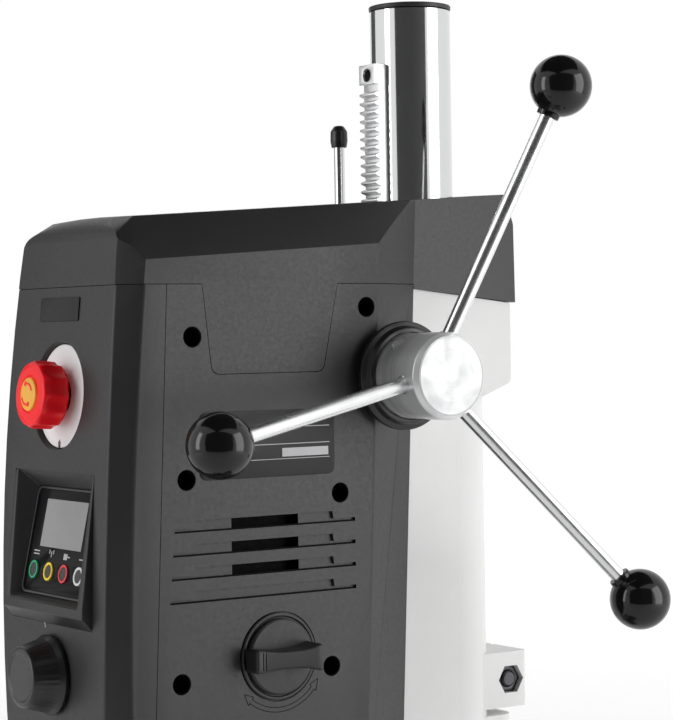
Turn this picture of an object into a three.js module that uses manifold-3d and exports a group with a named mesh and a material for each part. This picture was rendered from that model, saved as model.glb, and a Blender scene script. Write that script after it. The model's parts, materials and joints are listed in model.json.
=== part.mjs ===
// Benchtop milling machine: round column, geared head with a quill, cross table.
// Millimetres, +Z up, front towards -Y. Origin under the column, on the bench.
import * as THREE from 'three';
import { mergeVertices } from 'three/addons/utils/BufferGeometryUtils.js';
import Module from 'manifold-3d';

const wasm = await Module();
wasm.setup();

// ---------- driving dimensions ----------
const GAP = 0.3;                    // clearance between pieces that touch
const COLUMN_RADIUS = 29;
const HEAD_HEIGHT = 600;            // feed pinion axis above the bench, head at rest
const COLUMN_TOP = HEAD_HEIGHT + 264;
const TOOTH_MODULE = 2;             // lifting rack and quill rack
const PITCH = Math.PI * TOOTH_MODULE;
const PINION_TEETH = 12;
const PINION_RADIUS = TOOTH_MODULE * PINION_TEETH / 2;
const FEED_Y = -73.9;               // feed pinion axis
const SPINDLE_Y = -113.5;
const QUILL_RADIUS = 30;
const CASTING_HALF = 48;            // flat sides of the head casting
const SIDE_X = 82;                  // outer face of the side covers
const WALL = 3;                     // cover wall
const LEAN = 0.047;                 // side covers lean forward going down
const REAR_CREASE_Y = -92;          // where the side turns in to the casting
const REAR_HALF = 50;               // upper cover beside the column
const REAR_TURN_Y = -39.6;
const GROOVE_Y = -255;              // joint between the front and side covers
const PARTING_Z = 62.5;             // joint between the upper cover and the rest
const COVER_BOTTOM = -296;
const ROOF_SLOPE = 0.0645;
const ROOF_Z = 122.6;               // roof height above the pinion axis, at the column
const BEVEL_Z = 95;                 // lower edge of the roof bevel, at the column
const ROOF_HALF = 53;
const CROWN = 2;                    // rise of the roof from its edges to its middle
const HUB_RADIUS = 29;
const BALL_RADIUS = 20.5;
const BALL_REACH = 201;             // ball centre from the feed axis
const TABLE_HALF_LENGTH = 185;
const TABLE_HALF_WIDTH = 65;
const TABLE_TOP = 135;

// Facets round a circle.
const LARGE_ROUND = 32;
const MEDIUM_ROUND = 20;
const SMALL_ROUND = 12;
const TINY_ROUND = 8;

// ---------- finishes ----------
function finish(color, roughness, metalness) {
  return () => new THREE.MeshStandardMaterial({ color, roughness, metalness });
}
const coverPlastic = finish(0x4c4c4c, 0.55, 0);
const blackPlastic = finish(0x1b1b1b, 0.3, 0);
const whiteIron = finish(0xe4e4e2, 0.5, 0);
const chrome = finish(0xd8dadc, 0.12, 1);
const steel = finish(0xb4b6b8, 0.35, 1);
const aluminium = finish(0xcfd1d2, 0.4, 1);
const castIron = finish(0x6b6d6f, 0.5, 0.6);
const darkSteel = finish(0x2b2c2e, 0.5, 0.7);
const redPlastic = finish(0xcf1420, 0.35, 0);
const yellowPlastic = finish(0xf2b632, 0.4, 0);
const greenPlastic = finish(0x1e8a57, 0.35, 0);
const whitePlastic = finish(0xd9d9d9, 0.4, 0);
const glass = finish(0x202326, 0.1, 0);

// ---------- solids ----------
function solid(geometry) {
  const bare = geometry.index ? geometry.clone() : geometry;
  bare.deleteAttribute('normal');
  bare.deleteAttribute('uv');
  const merged = mergeVertices(bare, 1e-4);
  const vertProperties = new Float32Array(merged.attributes.position.array);
  const triVerts = new Uint32Array(merged.index.array);
  return new wasm.Manifold(new wasm.Mesh({ numProp: 3, vertProperties, triVerts }));
}

function join(...solids) {
  return solids.reduce((sum, piece) => sum.add(piece));
}

function cut(body, ...tools) {
  return tools.reduce((rest, tool) => rest.subtract(tool), body);
}

function common(...solids) {
  return solids.reduce((rest, piece) => rest.intersect(piece));
}

function box(x0, x1, y0, y1, z0, z1) {
  const geometry = new THREE.BoxGeometry(x1 - x0, y1 - y0, z1 - z0);
  geometry.translate((x0 + x1) / 2, (y0 + y1) / 2, (z0 + z1) / 2);
  return solid(geometry);
}

// Turns a profile of [distance, radius] steps about the line from a point along a direction.
function turned(profile, from, direction, segments = MEDIUM_ROUND) {
  const points = profile.map(([along, radius]) => new THREE.Vector2(radius, along));
  if (THREE.ShapeUtils.isClockWise(points)) points.reverse();
  const geometry = new THREE.LatheGeometry(points, segments);
  const turn = new THREE.Quaternion().setFromUnitVectors(
    new THREE.Vector3(0, 1, 0), new THREE.Vector3(...direction).normalize());
  geometry.applyQuaternion(turn);
  geometry.translate(...from);
  return solid(geometry);
}

function rod(radius, from, to, segments = MEDIUM_ROUND) {
  const direction = to.map((value, i) => value - from[i]);
  const length = Math.hypot(...direction);
  return turned([[0, 0], [0, radius], [length, radius], [length, 0]], from, direction, segments);
}

// A round bar on a line, between two distances along its direction.
function rodAlong(radius, from, direction, start, end) {
  return turned([[start, 0], [start, radius], [end, radius], [end, 0]], from, direction, SMALL_ROUND);
}

// An outline whose corners may carry a radius: [x, y] or [x, y, radius].
function outline(corners) {
  const shape = new THREE.Shape();
  corners.forEach(([x, y, radius = 0], i) => {
    const before = corners[(i + corners.length - 1) % corners.length];
    const after = corners[(i + 1) % corners.length];
    const corner = new THREE.Vector2(x, y);
    const start = new THREE.Vector2(before[0] - x, before[1] - y).setLength(radius).add(corner);
    const end = new THREE.Vector2(after[0] - x, after[1] - y).setLength(radius).add(corner);
    if (i === 0) shape.moveTo(start.x, start.y);
    else shape.lineTo(start.x, start.y);
    if (radius > 0) shape.quadraticCurveTo(x, y, end.x, end.y);
  });
  shape.closePath();
  return shape;
}

function extruded(corners, depth, across, up, along, origin) {
  const geometry = new THREE.ExtrudeGeometry(outline(corners),
    { depth, bevelEnabled: false, curveSegments: 5 });
  geometry.applyMatrix4(new THREE.Matrix4().makeBasis(across, up, along).setPosition(...origin));
  return solid(geometry);
}
const X = new THREE.Vector3(1, 0, 0);
const Y = new THREE.Vector3(0, 1, 0);
const Z = new THREE.Vector3(0, 0, 1);

// Outline in Y and Z, extruded from x0 to x1.
function sideProfile(corners, x0, x1) {
  return extruded(corners, x1 - x0, Y, Z, X, [x0, 0, 0]);
}

// Outline in X and Y, extruded from z0 to z1; lean moves it along +Y per unit of height.
function plan(corners, z0, z1, lean = 0) {
  return extruded(corners, z1 - z0, X, Y, new THREE.Vector3(0, lean, 1), [0, z0 * lean, z0]);
}

// Plan outlines of equal count, anticlockwise, stacked at rising heights into one body.
function stacked(heights, outlineAt) {
  const rings = heights.map(outlineAt);
  const count = rings[0].length;
  const points = rings.flatMap((ring, level) => ring.flatMap(([x, y]) => [x, y, heights[level]]));
  const faces = [];
  for (let level = 0; level + 1 < rings.length; level += 1) {
    for (let i = 0; i < count; i += 1) {
      const here = level * count + i;
      const next = level * count + (i + 1) % count;
      faces.push(here, next, next + count, here, next + count, here + count);
    }
  }
  const top = (rings.length - 1) * count;
  const flat = rings.map((ring) => ring.map(([x, y]) => new THREE.Vector2(x, y)));
  const bottomFaces = THREE.ShapeUtils.triangulateShape(flat[0], []);
  const topFaces = THREE.ShapeUtils.triangulateShape(flat.at(-1), []);
  bottomFaces.forEach(([a, b, c]) => faces.push(a, c, b));
  topFaces.forEach(([a, b, c]) => faces.push(top + a, top + b, top + c));
  const geometry = new THREE.BufferGeometry();
  geometry.setAttribute('position', new THREE.Float32BufferAttribute(points, 3));
  geometry.setIndex(faces);
  return solid(geometry);
}

// Outline in X and Z, extruded forward from y0 to the smaller y1; slope is the rise per unit of +Y.
function frontProfile(corners, y0, y1, slope = 0) {
  return extruded(corners, y0 - y1, X, Z, new THREE.Vector3(0, -1, -slope), [0, y0, y0 * slope]);
}

function mirrored(corners) {
  const other = corners.map(([x, y, radius]) => [-x, y, radius]).reverse();
  return [...corners, ...other];
}

function flipX(body) {
  return body.scale([-1, 1, 1]);
}

const headNodes = new THREE.Group();
headNodes.position.z = HEAD_HEIGHT;
const machine = new THREE.Group();
machine.add(headNodes);

function part(name, body, material, parent = headNodes) {
  const { numProp, vertProperties, triVerts } = body.getMesh();
  if (numProp !== 3) throw new Error(`${name}: positions only`);
  const geometry = new THREE.BufferGeometry();
  geometry.setAttribute('position', new THREE.BufferAttribute(new Float32Array(vertProperties), 3));
  geometry.setIndex(new THREE.BufferAttribute(new Uint32Array(triVerts), 1));
  geometry.computeVertexNormals();
  const mesh = new THREE.Mesh(geometry, material());
  mesh.name = name;
  parent.add(mesh);
}

// ---------- toothed wheels ----------
const FLANK = Math.tan(Math.PI / 9);  // 20 degree pressure angle
const TOOTH_SHARE = 0.42;             // tooth thickness on the pitch line, of one pitch
const TIP = 0.85;                     // addendum and dedendum, in modules
const ROOT = 1.2;

// A spur wheel about Z, with a tooth pointing along the given angle.
function spurWheel(teeth, module, width, z0, angle) {
  const pitchRadius = module * teeth / 2;
  const tipRadius = pitchRadius + TIP * module;
  const rootRadius = pitchRadius - ROOT * module;
  const half = TOOTH_SHARE * Math.PI * module / 2;
  const tipHalf = (half - TIP * module * FLANK) / tipRadius;
  const rootHalf = (half + ROOT * module * FLANK) / rootRadius;
  const corners = [];
  for (let tooth = 0; tooth < teeth; tooth += 1) {
    const middle = angle + tooth * 2 * Math.PI / teeth;
    for (const [radius, offset] of [[rootRadius, -rootHalf], [tipRadius, -tipHalf], [tipRadius, tipHalf],
      [rootRadius, rootHalf]]) {
      corners.push([radius * Math.cos(middle + offset), radius * Math.sin(middle + offset)]);
    }
  }
  return plan(corners, z0, z0 + width);
}

// A spur wheel about X through (y, z), with a tooth pointing along +Y or -Y.
function crossPinion(x0, x1, y, z, towards) {
  const wheel = spurWheel(PINION_TEETH, TOOTH_MODULE, x1 - x0, x0, towards > 0 ? 0 : Math.PI);
  return wheel.transform([0, 1, 0, 0, 0, 0, 1, 0, 1, 0, 0, 0, 0, y, z, 1]);
}

// Corners of straight rack teeth on the line y = pitchLine, tips towards the sign of facing.
function rackTeeth(pitchLine, facing, zFirstGap, zLow, zHigh) {
  const corners = [];
  const half = TOOTH_SHARE * PITCH / 2;
  const tip = TIP * TOOTH_MODULE;
  const root = ROOT * TOOTH_MODULE;
  const first = Math.ceil((zLow + PITCH / 2 - zFirstGap) / PITCH);
  const last = Math.floor((zHigh - PITCH / 2 - zFirstGap) / PITCH);
  for (let k = first; k < last; k += 1) {
    const middle = zFirstGap + (k + 0.5) * PITCH;
    corners.push([pitchLine - facing * root, middle - half - root * FLANK]);
    corners.push([pitchLine + facing * tip, middle - half + tip * FLANK]);
    corners.push([pitchLine + facing * tip, middle + half - tip * FLANK]);
    corners.push([pitchLine - facing * root, middle + half + root * FLANK]);
  }
  return corners;
}

// ---------- base, column and lifting rack (bench coordinates) ----------
const SOCKET_RADIUS = 46;
const SOCKET_TOP = 80;
const BASE_TOP = 40;
const WAY_TOP = 62;
const Y_SCREW_Z = 51;
const BASE_FRONT = -262;
const BASE_REAR = 78;

const RACK_TOP = HEAD_HEIGHT + 220;
const RACK_BOTTOM = 360;
const RACK_HALF = 9.4;
const RACK_SEAT_Y = -28;                      // flat milled on the column for the rack
const RACK_PITCH_LINE = -37;
const LIFT_Z = -150;                          // lifting pinion below the feed axis
const LIFT_Y = RACK_PITCH_LINE - PINION_RADIUS - GAP;

function mountHole(x, y) {
  return rod(5.5, [x, y, -1], [x, y, BASE_TOP + 1], TINY_ROUND);
}

function base() {
  const footprint = mirrored([[95, BASE_FRONT, 14], [95, -70, 10], [80, BASE_REAR, 20]]);
  const way = frontProfile(mirrored([[38, BASE_TOP - 2], [38, 48], [46, WAY_TOP]]), -64, BASE_FRONT + 4);
  const trough = box(-16, 16, BASE_FRONT - 1, -62, 42, WAY_TOP + 1);
  const socket = turned([[BASE_TOP - 1, 0], [BASE_TOP - 1, 53], [BASE_TOP + 8, SOCKET_RADIUS],
    [SOCKET_TOP, SOCKET_RADIUS], [SOCKET_TOP, 0]], [0, 0, 0], [0, 0, 1], LARGE_ROUND);
  let body = join(plan(footprint, 0, BASE_TOP), way);
  body = join(cut(body, trough), socket);
  body = cut(body, rod(COLUMN_RADIUS + GAP, [0, 0, 12], [0, 0, SOCKET_TOP + 1], LARGE_ROUND));
  for (const side of [-1, 1]) {
    body = cut(body, mountHole(side * 78, BASE_FRONT + 18), mountHole(side * 64, 50));
  }
  const screwBearing = cut(box(-26, 26, BASE_FRONT - 8, BASE_FRONT + 6, 30, WAY_TOP),
    rod(7.3, [0, BASE_FRONT - 9, Y_SCREW_Z], [0, BASE_FRONT + 7, Y_SCREW_Z], SMALL_ROUND));
  part('base', join(body, screwBearing), castIron, machine);
}

function column() {
  const bottom = 12 + GAP;
  const tube = turned([[bottom, 22], [bottom, COLUMN_RADIUS], [COLUMN_TOP - 4, COLUMN_RADIUS],
    [COLUMN_TOP - 4, 22], [bottom, 22]], [0, 0, 0], [0, 0, 1], LARGE_ROUND);
  const seat = box(-RACK_HALF - GAP, RACK_HALF + GAP, -40, RACK_SEAT_Y, RACK_BOTTOM - 1, RACK_TOP + 1);
  part('column', cut(tube, seat), chrome, machine);
  const cap = turned([[COLUMN_TOP - 14, 0], [COLUMN_TOP - 14, 21.5], [COLUMN_TOP - 4 + GAP, 21.5],
    [COLUMN_TOP - 4 + GAP, 30], [COLUMN_TOP - 1, 30], [COLUMN_TOP, 29], [COLUMN_TOP, 0]],
    [0, 0, 0], [0, 0, 1], LARGE_ROUND);
  part('column_cap', cap, blackPlastic, machine);
}

function liftingRack() {
  const back = RACK_SEAT_Y - GAP;
  const face = RACK_PITCH_LINE - TIP * TOOTH_MODULE;
  const land = 22;
  const teeth = rackTeeth(RACK_PITCH_LINE, -1, HEAD_HEIGHT + LIFT_Z, RACK_BOTTOM + 8, RACK_TOP - land);
  const corners = [[back, RACK_BOTTOM], [face, RACK_BOTTOM], [face, RACK_BOTTOM + 5], ...teeth,
    [face, RACK_TOP - land + 1], [face, RACK_TOP], [back, RACK_TOP]];
  const screwZ = RACK_TOP - 11;
  const hole = turned([[0, 0], [0, 4.8], [3.4, 2.8], [14, 2.8], [14, 0]], [0, face - 0.01, screwZ],
    [0, 1, 0], SMALL_ROUND);
  part('lifting_rack', cut(sideProfile(corners, -RACK_HALF, RACK_HALF), hole), steel, machine);
  const screw = turned([[1, 0], [1, 3.6], [3.2, 2.2], [9, 2.2], [9, 0]], [0, face, screwZ], [0, 1, 0],
    TINY_ROUND);
  part('rack_screw', screw, darkSteel, machine);
}

// ---------- head casting ----------
const HOUSING_TOP = 69.7;
const HOUSING_BOTTOM = -285;
const CLAMP_Z = -223;
const CLAMP_Y = 52;
const LOCK_Z = 22;
const LOCK_Y = -22;

function headCasting() {
  const sleeve = rod(CASTING_HALF, [0, 0, -300], [0, 0, 48], LARGE_ROUND);
  const neck = rod(42, [0, 0, 40], [0, 0, HOUSING_TOP], LARGE_ROUND);
  const flats = sideProfile([[-100, HOUSING_BOTTOM], [0, HOUSING_BOTTOM], [0, -22], [21, -20, 3],
    [50, -9, 4], [50, 48.8], [-33, 59], [-100, 59]], -CASTING_HALF, CASTING_HALF);
  const housing = rod(42, [0, SPINDLE_Y, HOUSING_BOTTOM], [0, SPINDLE_Y, HOUSING_TOP], LARGE_ROUND);
  const web = box(-36, 36, SPINDLE_Y, 0, HOUSING_BOTTOM, HOUSING_TOP);
  const clampBlock = plan([[-40, 0], [40, 0], [40, 67, 3], [-40, 67, 3]], CLAMP_Z - 20, CLAMP_Z + 20);
  const foot = plan([[-40, 0], [40, 0], [40, 56, 10], [-40, 56, 10]], -300, -248);
  const feedBoss = rod(33, [-83.4, FEED_Y, 0], [83.4, FEED_Y, 0], MEDIUM_ROUND);
  let body = join(sleeve, flats, neck, housing, web, clampBlock, foot, feedBoss);
  const rackSlot = box(-10.4, 10.4, -40.5, 0, -310, HOUSING_TOP + 1);
  const feedBore = join(rod(14.6, [-17, FEED_Y, 0], [17, FEED_Y, 0]),
    rod(10 + GAP, [-90, FEED_Y, 0], [90, FEED_Y, 0]));
  const liftBore = join(rod(14.6, [-11, LIFT_Y, LIFT_Z], [11, LIFT_Y, LIFT_Z]),
    rod(8 + GAP, [-60, LIFT_Y, LIFT_Z], [0, LIFT_Y, LIFT_Z], SMALL_ROUND));
  const clampSlit = box(-2, 2, 10, 70, CLAMP_Z - 30, CLAMP_Z + 24);
  const clampBore = rod(6.4, [-45, CLAMP_Y, CLAMP_Z], [45, CLAMP_Y, CLAMP_Z], SMALL_ROUND);
  const nutPocket = hexagonBar(19.4, 28, 45);
  const lockBore = rod(6 + GAP, [-50, LOCK_Y, LOCK_Z], [-20, LOCK_Y, LOCK_Z], SMALL_ROUND);
  body = cut(body, rod(COLUMN_RADIUS + GAP, [0, 0, -310], [0, 0, 100], LARGE_ROUND), rackSlot,
    rod(QUILL_RADIUS + GAP, [0, SPINDLE_Y, -300], [0, SPINDLE_Y, 100], LARGE_ROUND),
    feedBore, liftBore, clampSlit, clampBore, nutPocket, lockBore);
  part('head_casting', body, whiteIron);
}

// A hexagonal bar along X on the clamp axis, flats at the top and bottom.
function hexagonBar(acrossFlats, x0, x1) {
  const radius = acrossFlats / 2 / Math.cos(Math.PI / 6);
  const corners = [];
  for (let i = 0; i < 6; i += 1) {
    corners.push([CLAMP_Y + radius * Math.cos(i * Math.PI / 3),
      CLAMP_Z + radius * Math.sin(i * Math.PI / 3)]);
  }
  return sideProfile(corners, x0, x1);
}

function clampScrew() {
  const axis = [1, 0, 0];
  const bolt = turned([[-52, 0], [-52, 9], [-40 - GAP, 9], [-40 - GAP, 6], [38, 6], [38, 0]],
    [0, CLAMP_Y, CLAMP_Z], axis, SMALL_ROUND);
  part('clamp_bolt', bolt, darkSteel);
  const nut = cut(hexagonBar(18.6, 28.4, 36),
    rod(6 + GAP, [20, CLAMP_Y, CLAMP_Z], [50, CLAMP_Y, CLAMP_Z], SMALL_ROUND));
  part('clamp_nut', nut, darkSteel);
}

// ---------- covers ----------
// The front of the covers bulges: every edge there is a shallow arc in height.
function bulge(z, middle, depth, radius) {
  return depth + (z - middle) ** 2 / (2 * radius);
}

// Depth of the front face, depth where its corner bevel meets the side, and the face's half width.
function frontAt(z) {
  return bulge(z, -195, -296.2, 2290);
}

function bevelAt(z) {
  return bulge(z, -230, -282.5, 3040);
}

function frontHalfAt(z) {
  return -bulge(z, -90, -73.6, 2160);
}

// Outer form of the covers, drawn in by a margin; every wall is the form less a drawn-in one.
const LEVEL = 45;
function coverForm(margin, z0, z1) {
  const half = SIDE_X - margin;
  const steps = Math.ceil((z1 - z0) / LEVEL);
  const heights = Array.from({ length: steps + 1 }, (_, i) => z0 + (z1 - z0) * i / steps);
  return stacked(heights, (z) => mirrored([[frontHalfAt(z) - margin * 0.45, frontAt(z) + margin],
    [half, bevelAt(z) + margin * 0.4],
    [half, REAR_CREASE_Y - margin * 0.3 + LEAN * z],
    [REAR_HALF - margin, REAR_TURN_Y - margin * 0.6 + LEAN * z],
    [REAR_HALF - margin, 80]]));
}

function roofAt(y) {
  return ROOF_Z + ROOF_SLOPE * y;
}

// Upper cover: footprint, side view and roof bevel meet in one body.
function upperForm(margin, rear, lowEdge) {
  const front = frontAt(PARTING_Z) + margin;
  const top = roofAt(0) + CROWN - margin;
  const side = sideProfile([[front - 8, lowEdge], [front + 2, top + ROOF_SLOPE * front, 24],
    [45 - rear, top + ROOF_SLOPE * 45], [52.5 - rear, 105 - rear], [53.5 - rear, lowEdge - 14],
    [-33, lowEdge - 3], [-33, lowEdge]], -90, 90);
  const edge = ROOF_HALF - margin * 0.4;
  const bevel = frontProfile(mirrored([[SIDE_X - margin, -60], [SIDE_X - margin, BEVEL_Z - margin * 0.4],
    [edge, ROOF_Z - margin + 0.8], [edge / 2, ROOF_Z - margin + 0.8 * CROWN],
    [8, ROOF_Z - margin + CROWN]]), 90, -300, ROOF_SLOPE);
  return common(coverForm(margin, -10, 140), side, bevel);
}

// The upper cover reaches down into each side cover in a tongue; grown is its clearance.
function tongue(grown) {
  const top = PARTING_Z + 4 * grown;
  const corners = [[-226 - grown, top], [-219.5 - grown, 4.5 - grown, 6],
    [-134.5 + grown, 4.5 - grown, 6], [-122 + grown, top]];
  return sideProfile(corners, SIDE_X - WALL - grown, SIDE_X + grown);
}

const LOUVRES = 7;
const LOUVRE_FRONT = -218;
const LOUVRE_STEP = 22;

function upperCover() {
  const tongues = join(tongue(0), flipX(tongue(0)));
  const outer = upperForm(0, 0, PARTING_Z);
  const inner = upperForm(WALL, WALL, PARTING_Z - 20);
  const columnHole = join(rod(COLUMN_RADIUS + 1, [0, 0, 40], [0, 0, 140], LARGE_ROUND),
    box(-11.5, 11.5, -41, 0, 40, 140));
  let body = cut(outer, inner, columnHole);
  for (let row = 0; row < LOUVRES; row += 1) {
    const y = LOUVRE_FRONT + row * LOUVRE_STEP;
    body = cut(body, box(-38, -10, y, y + 7, 90, 130), box(10, 38, y, y + 7, 90, 130));
  }
  part('upper_cover', join(body, tongues), coverPlastic);
}

function lowerRing(yFront, yRear) {
  const ring = cut(coverForm(0, COVER_BOTTOM, PARTING_Z - GAP),
    coverForm(WALL, COVER_BOTTOM - 5, PARTING_Z + 5));
  const zone = plan([[-100, yFront], [100, yFront], [100, yRear], [-100, yRear]], COVER_BOTTOM - 5,
    PARTING_Z + 5, LEAN);
  return common(ring, zone);
}

const STOP_Z = -9;
const SPEED_Z = -190;
const DIAL_RADIUS = 34.5;
const DISPLAY_HALF = 56;
const DISPLAY_TOP = -58;
const DISPLAY_BOTTOM = -157;

function frontCover() {
  let body = lowerRing(-320, GROOVE_Y);
  body = cut(body, box(-DISPLAY_HALF - GAP, DISPLAY_HALF + GAP, -320, -260, DISPLAY_BOTTOM - GAP,
    DISPLAY_TOP + GAP));
  body = cut(body, rod(DIAL_RADIUS + GAP, [0, -320, STOP_Z], [0, -260, STOP_Z], LARGE_ROUND));
  body = cut(body, rod(5 + GAP, [0, -320, SPEED_Z], [0, -260, SPEED_Z], SMALL_ROUND));
  part('front_cover', body, coverPlastic);
}

const COVER_SCREWS = [[-234, 28.5], [-99, 46.5], [-240, -62.5], [-122.5, -76.5], [-246, -192],
  [-131.5, -191]];
const VENT_Z = -96;                 // lower edge of the first vent row
const VENT_STEP = 15;
const VENT_FRONT = -249.5;
const VENT_REAR = -110.8;
const GEAR_Y = -173;
const GEAR_Z = -180.7;

function rightSideCover() {
  let body = common(lowerRing(GROOVE_Y + 1, REAR_TURN_Y),
    box(CASTING_HALF + 0.5, 90, -300, 0, -310, 80));
  for (const [y, z] of COVER_SCREWS) {
    body = cut(body, rod(6.5, [70, y, z], [90, y, z], TINY_ROUND));
  }
  for (let row = 0; row < 4; row += 1) {
    const z = VENT_Z - row * VENT_STEP;
    body = cut(body, box(70, 90, VENT_FRONT - 1.3 * row, VENT_REAR, z, z + 3),
      box(70, 90, VENT_FRONT + 14.7, VENT_REAR - 17.4, z, z + 7.5));
  }
  return cut(body, tongue(GAP), rod(39.5, [40, FEED_Y, 0], [90, FEED_Y, 0], MEDIUM_ROUND),
    rod(10, [70, GEAR_Y, GEAR_Z], [90, GEAR_Y, GEAR_Z], MEDIUM_ROUND));
}

function sideCovers() {
  const right = rightSideCover();
  part('right_side_cover', right, coverPlastic);
  const shaftHole = rod(10, [-100, LIFT_Y, LIFT_Z], [-40, LIFT_Y, LIFT_Z], SMALL_ROUND);
  part('left_side_cover', cut(flipX(right), shaftHole), coverPlastic);
  const gland = [[SIDE_X + GAP, 0], [SIDE_X + GAP, 11], [SIDE_X + 6, 11], [SIDE_X + 7, 8],
    [SIDE_X + 16, 6.5], [SIDE_X + 18, 5], [SIDE_X + 18, 0]];
  part('mains_gland', turned(gland, [0, -215, -262], [-1, 0, 0], SMALL_ROUND), blackPlastic);
}

// ---------- plates, display and controls on the front ----------
// Turned about the line that stands square on the front face at a height.
function frontPiece(profile, z, segments) {
  return turned(profile, [0, frontAt(z), z], [0, -1, slopeAt(z)], segments);
}

function slopeAt(z) {
  return (frontAt(z + 1) - frontAt(z - 1)) / 2;
}

const STEM_RADIUS = 12;
const KNOB_BACK = 3.4;              // stop knob's back and front, off the front face
const KNOB_FRONT = 20.8;
const KNOB_BEVEL = 3;

function platesAndDial() {
  const dataPlate = sideProfile([[-228, -64, 6], [-124, -64, 6], [-124, -20, 6], [-228, -20, 6]],
    SIDE_X + GAP, SIDE_X + 0.9);
  part('data_plate', dataPlate, blackPlastic);
  const low = 40;
  const high = 55;
  const namePlate = sideProfile([[frontAt(low) - GAP, low], [frontAt(high) - GAP, high],
    [frontAt(high) - 1.1, high], [frontAt(low) - 1.1, low]], -30, 24);
  part('name_plate', namePlate, blackPlastic);
  const dial = frontPiece([[-4, STEM_RADIUS + GAP], [-4, DIAL_RADIUS], [0, DIAL_RADIUS],
    [0, STEM_RADIUS + GAP], [-4, STEM_RADIUS + GAP]], STOP_Z, LARGE_ROUND);
  part('stop_dial_plate', dial, whitePlastic);
}

function stopKnob() {
  const lobes = 12;
  const shape = new THREE.Shape();
  for (let i = 0; i <= lobes * 4; i += 1) {
    const angle = i * Math.PI / lobes / 2;
    const radius = 21.2 + 0.9 * Math.cos(lobes * angle);
    if (i === 0) shape.moveTo(radius, 0);
    else shape.lineTo(radius * Math.cos(angle), radius * Math.sin(angle));
  }
  const geometry = new THREE.ExtrudeGeometry(shape, {
    depth: KNOB_FRONT - KNOB_BACK - 2 * KNOB_BEVEL,
    bevelThickness: KNOB_BEVEL,
    bevelSize: KNOB_BEVEL,
    bevelOffset: -KNOB_BEVEL,
    bevelSegments: 1,
  });
  geometry.translate(0, 0, KNOB_BACK + KNOB_BEVEL);
  geometry.applyMatrix4(new THREE.Matrix4().makeBasis(X, Z, new THREE.Vector3(0, -1, 0)));
  geometry.rotateX(-Math.atan(slopeAt(STOP_Z)));
  geometry.translate(0, frontAt(STOP_Z), STOP_Z);
  const stem = frontPiece([[-14, 0], [-14, STEM_RADIUS], [8, STEM_RADIUS], [8, 0]], STOP_Z, SMALL_ROUND);
  const seat = KNOB_FRONT - 1.5;
  const recess = frontPiece([[seat, 0], [seat, 12.2], [45, 12.2], [45, 0]], STOP_Z, MEDIUM_ROUND);
  part('stop_knob', cut(join(solid(geometry), stem), recess), redPlastic);
  const cap = [[seat + GAP, 0], [seat + GAP, 11.8], [seat + 2.6, 11.6], [seat + 3.2, 9], [seat + 3.2, 0]];
  part('stop_cap', frontPiece(cap, STOP_Z, MEDIUM_ROUND), yellowPlastic);
}

const DISPLAY_TILT = 0.217;         // the display faces up: depth per unit of height
const BUTTON_Z = -124;
const BUTTON_PITCH = 21.2;
const BUTTONS = [['green_button', greenPlastic], ['yellow_button', yellowPlastic],
  ['red_button', redPlastic], ['white_button', whitePlastic]];
const LIP_Z = -149;
const LIP_OUT = 7;                  // the hood's lip in front of the face
const DISPLAY_IN = 3.1;             // the glass behind the face, at the buttons
const PANE = 2;                     // thickness of the display glass
const PANE_HALF = 44;
const PANE_TOP = -70;
const PANE_BOTTOM = -139;

// Depth of the display's surface at a height.
function displayAt(z) {
  return frontAt(BUTTON_Z) + DISPLAY_IN + DISPLAY_TILT * (z - BUTTON_Z);
}

// A slab parallel to the display between two depths behind its surface.
function displaySlab(half, top, bottom, near, far) {
  return sideProfile([[displayAt(top) + near, top], [displayAt(bottom) + near, bottom],
    [displayAt(bottom) + far, bottom], [displayAt(top) + far, top]], -half, half);
}

function display() {
  const back = -262;
  const hood = sideProfile([[back, DISPLAY_BOTTOM], [frontAt(DISPLAY_BOTTOM), DISPLAY_BOTTOM],
    [frontAt(LIP_Z) - LIP_OUT, LIP_Z], [frontAt(LIP_Z + 6) - LIP_OUT, LIP_Z + 6],
    [frontAt(DISPLAY_TOP), DISPLAY_TOP], [back, DISPLAY_TOP]], -DISPLAY_HALF, DISPLAY_HALF);
  const pocket = displaySlab(PANE_HALF + GAP, PANE_TOP + GAP, PANE_BOTTOM - GAP, -30, PANE + GAP);
  let housing = cut(hood, pocket);
  let pane = displaySlab(PANE_HALF, PANE_TOP, PANE_BOTTOM, 0, PANE);
  BUTTONS.forEach(([name, material], i) => {
    const seat = [(i - 1.5) * BUTTON_PITCH, displayAt(BUTTON_Z), BUTTON_Z];
    const outward = [0, -1, DISPLAY_TILT];
    pane = cut(pane, rodAlong(6.9, seat, outward, -5, 5));
    housing = cut(housing, rodAlong(5.6, seat, outward, -10, 5));
    const cap = [[-7, 0], [-7, 5.2], [-0.6, 5.2], [-0.6, 6.5], [0.9, 6.5], [1.2, 5.9], [1.2, 0]];
    part(name, turned(cap, seat, outward, SMALL_ROUND), material);
  });
  part('display_housing', housing, coverPlastic);
  part('display_glass', pane, glass);
}

function speedKnob() {
  const profile = [[-14, 0], [-14, 5], [2 * GAP, 5], [2 * GAP, 26], [4, 26], [7, 23.4], [23, 20.6],
    [25, 19], [25, 0]];
  part('speed_knob', frontPiece(profile, SPEED_Z, MEDIUM_ROUND), blackPlastic);
}

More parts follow.
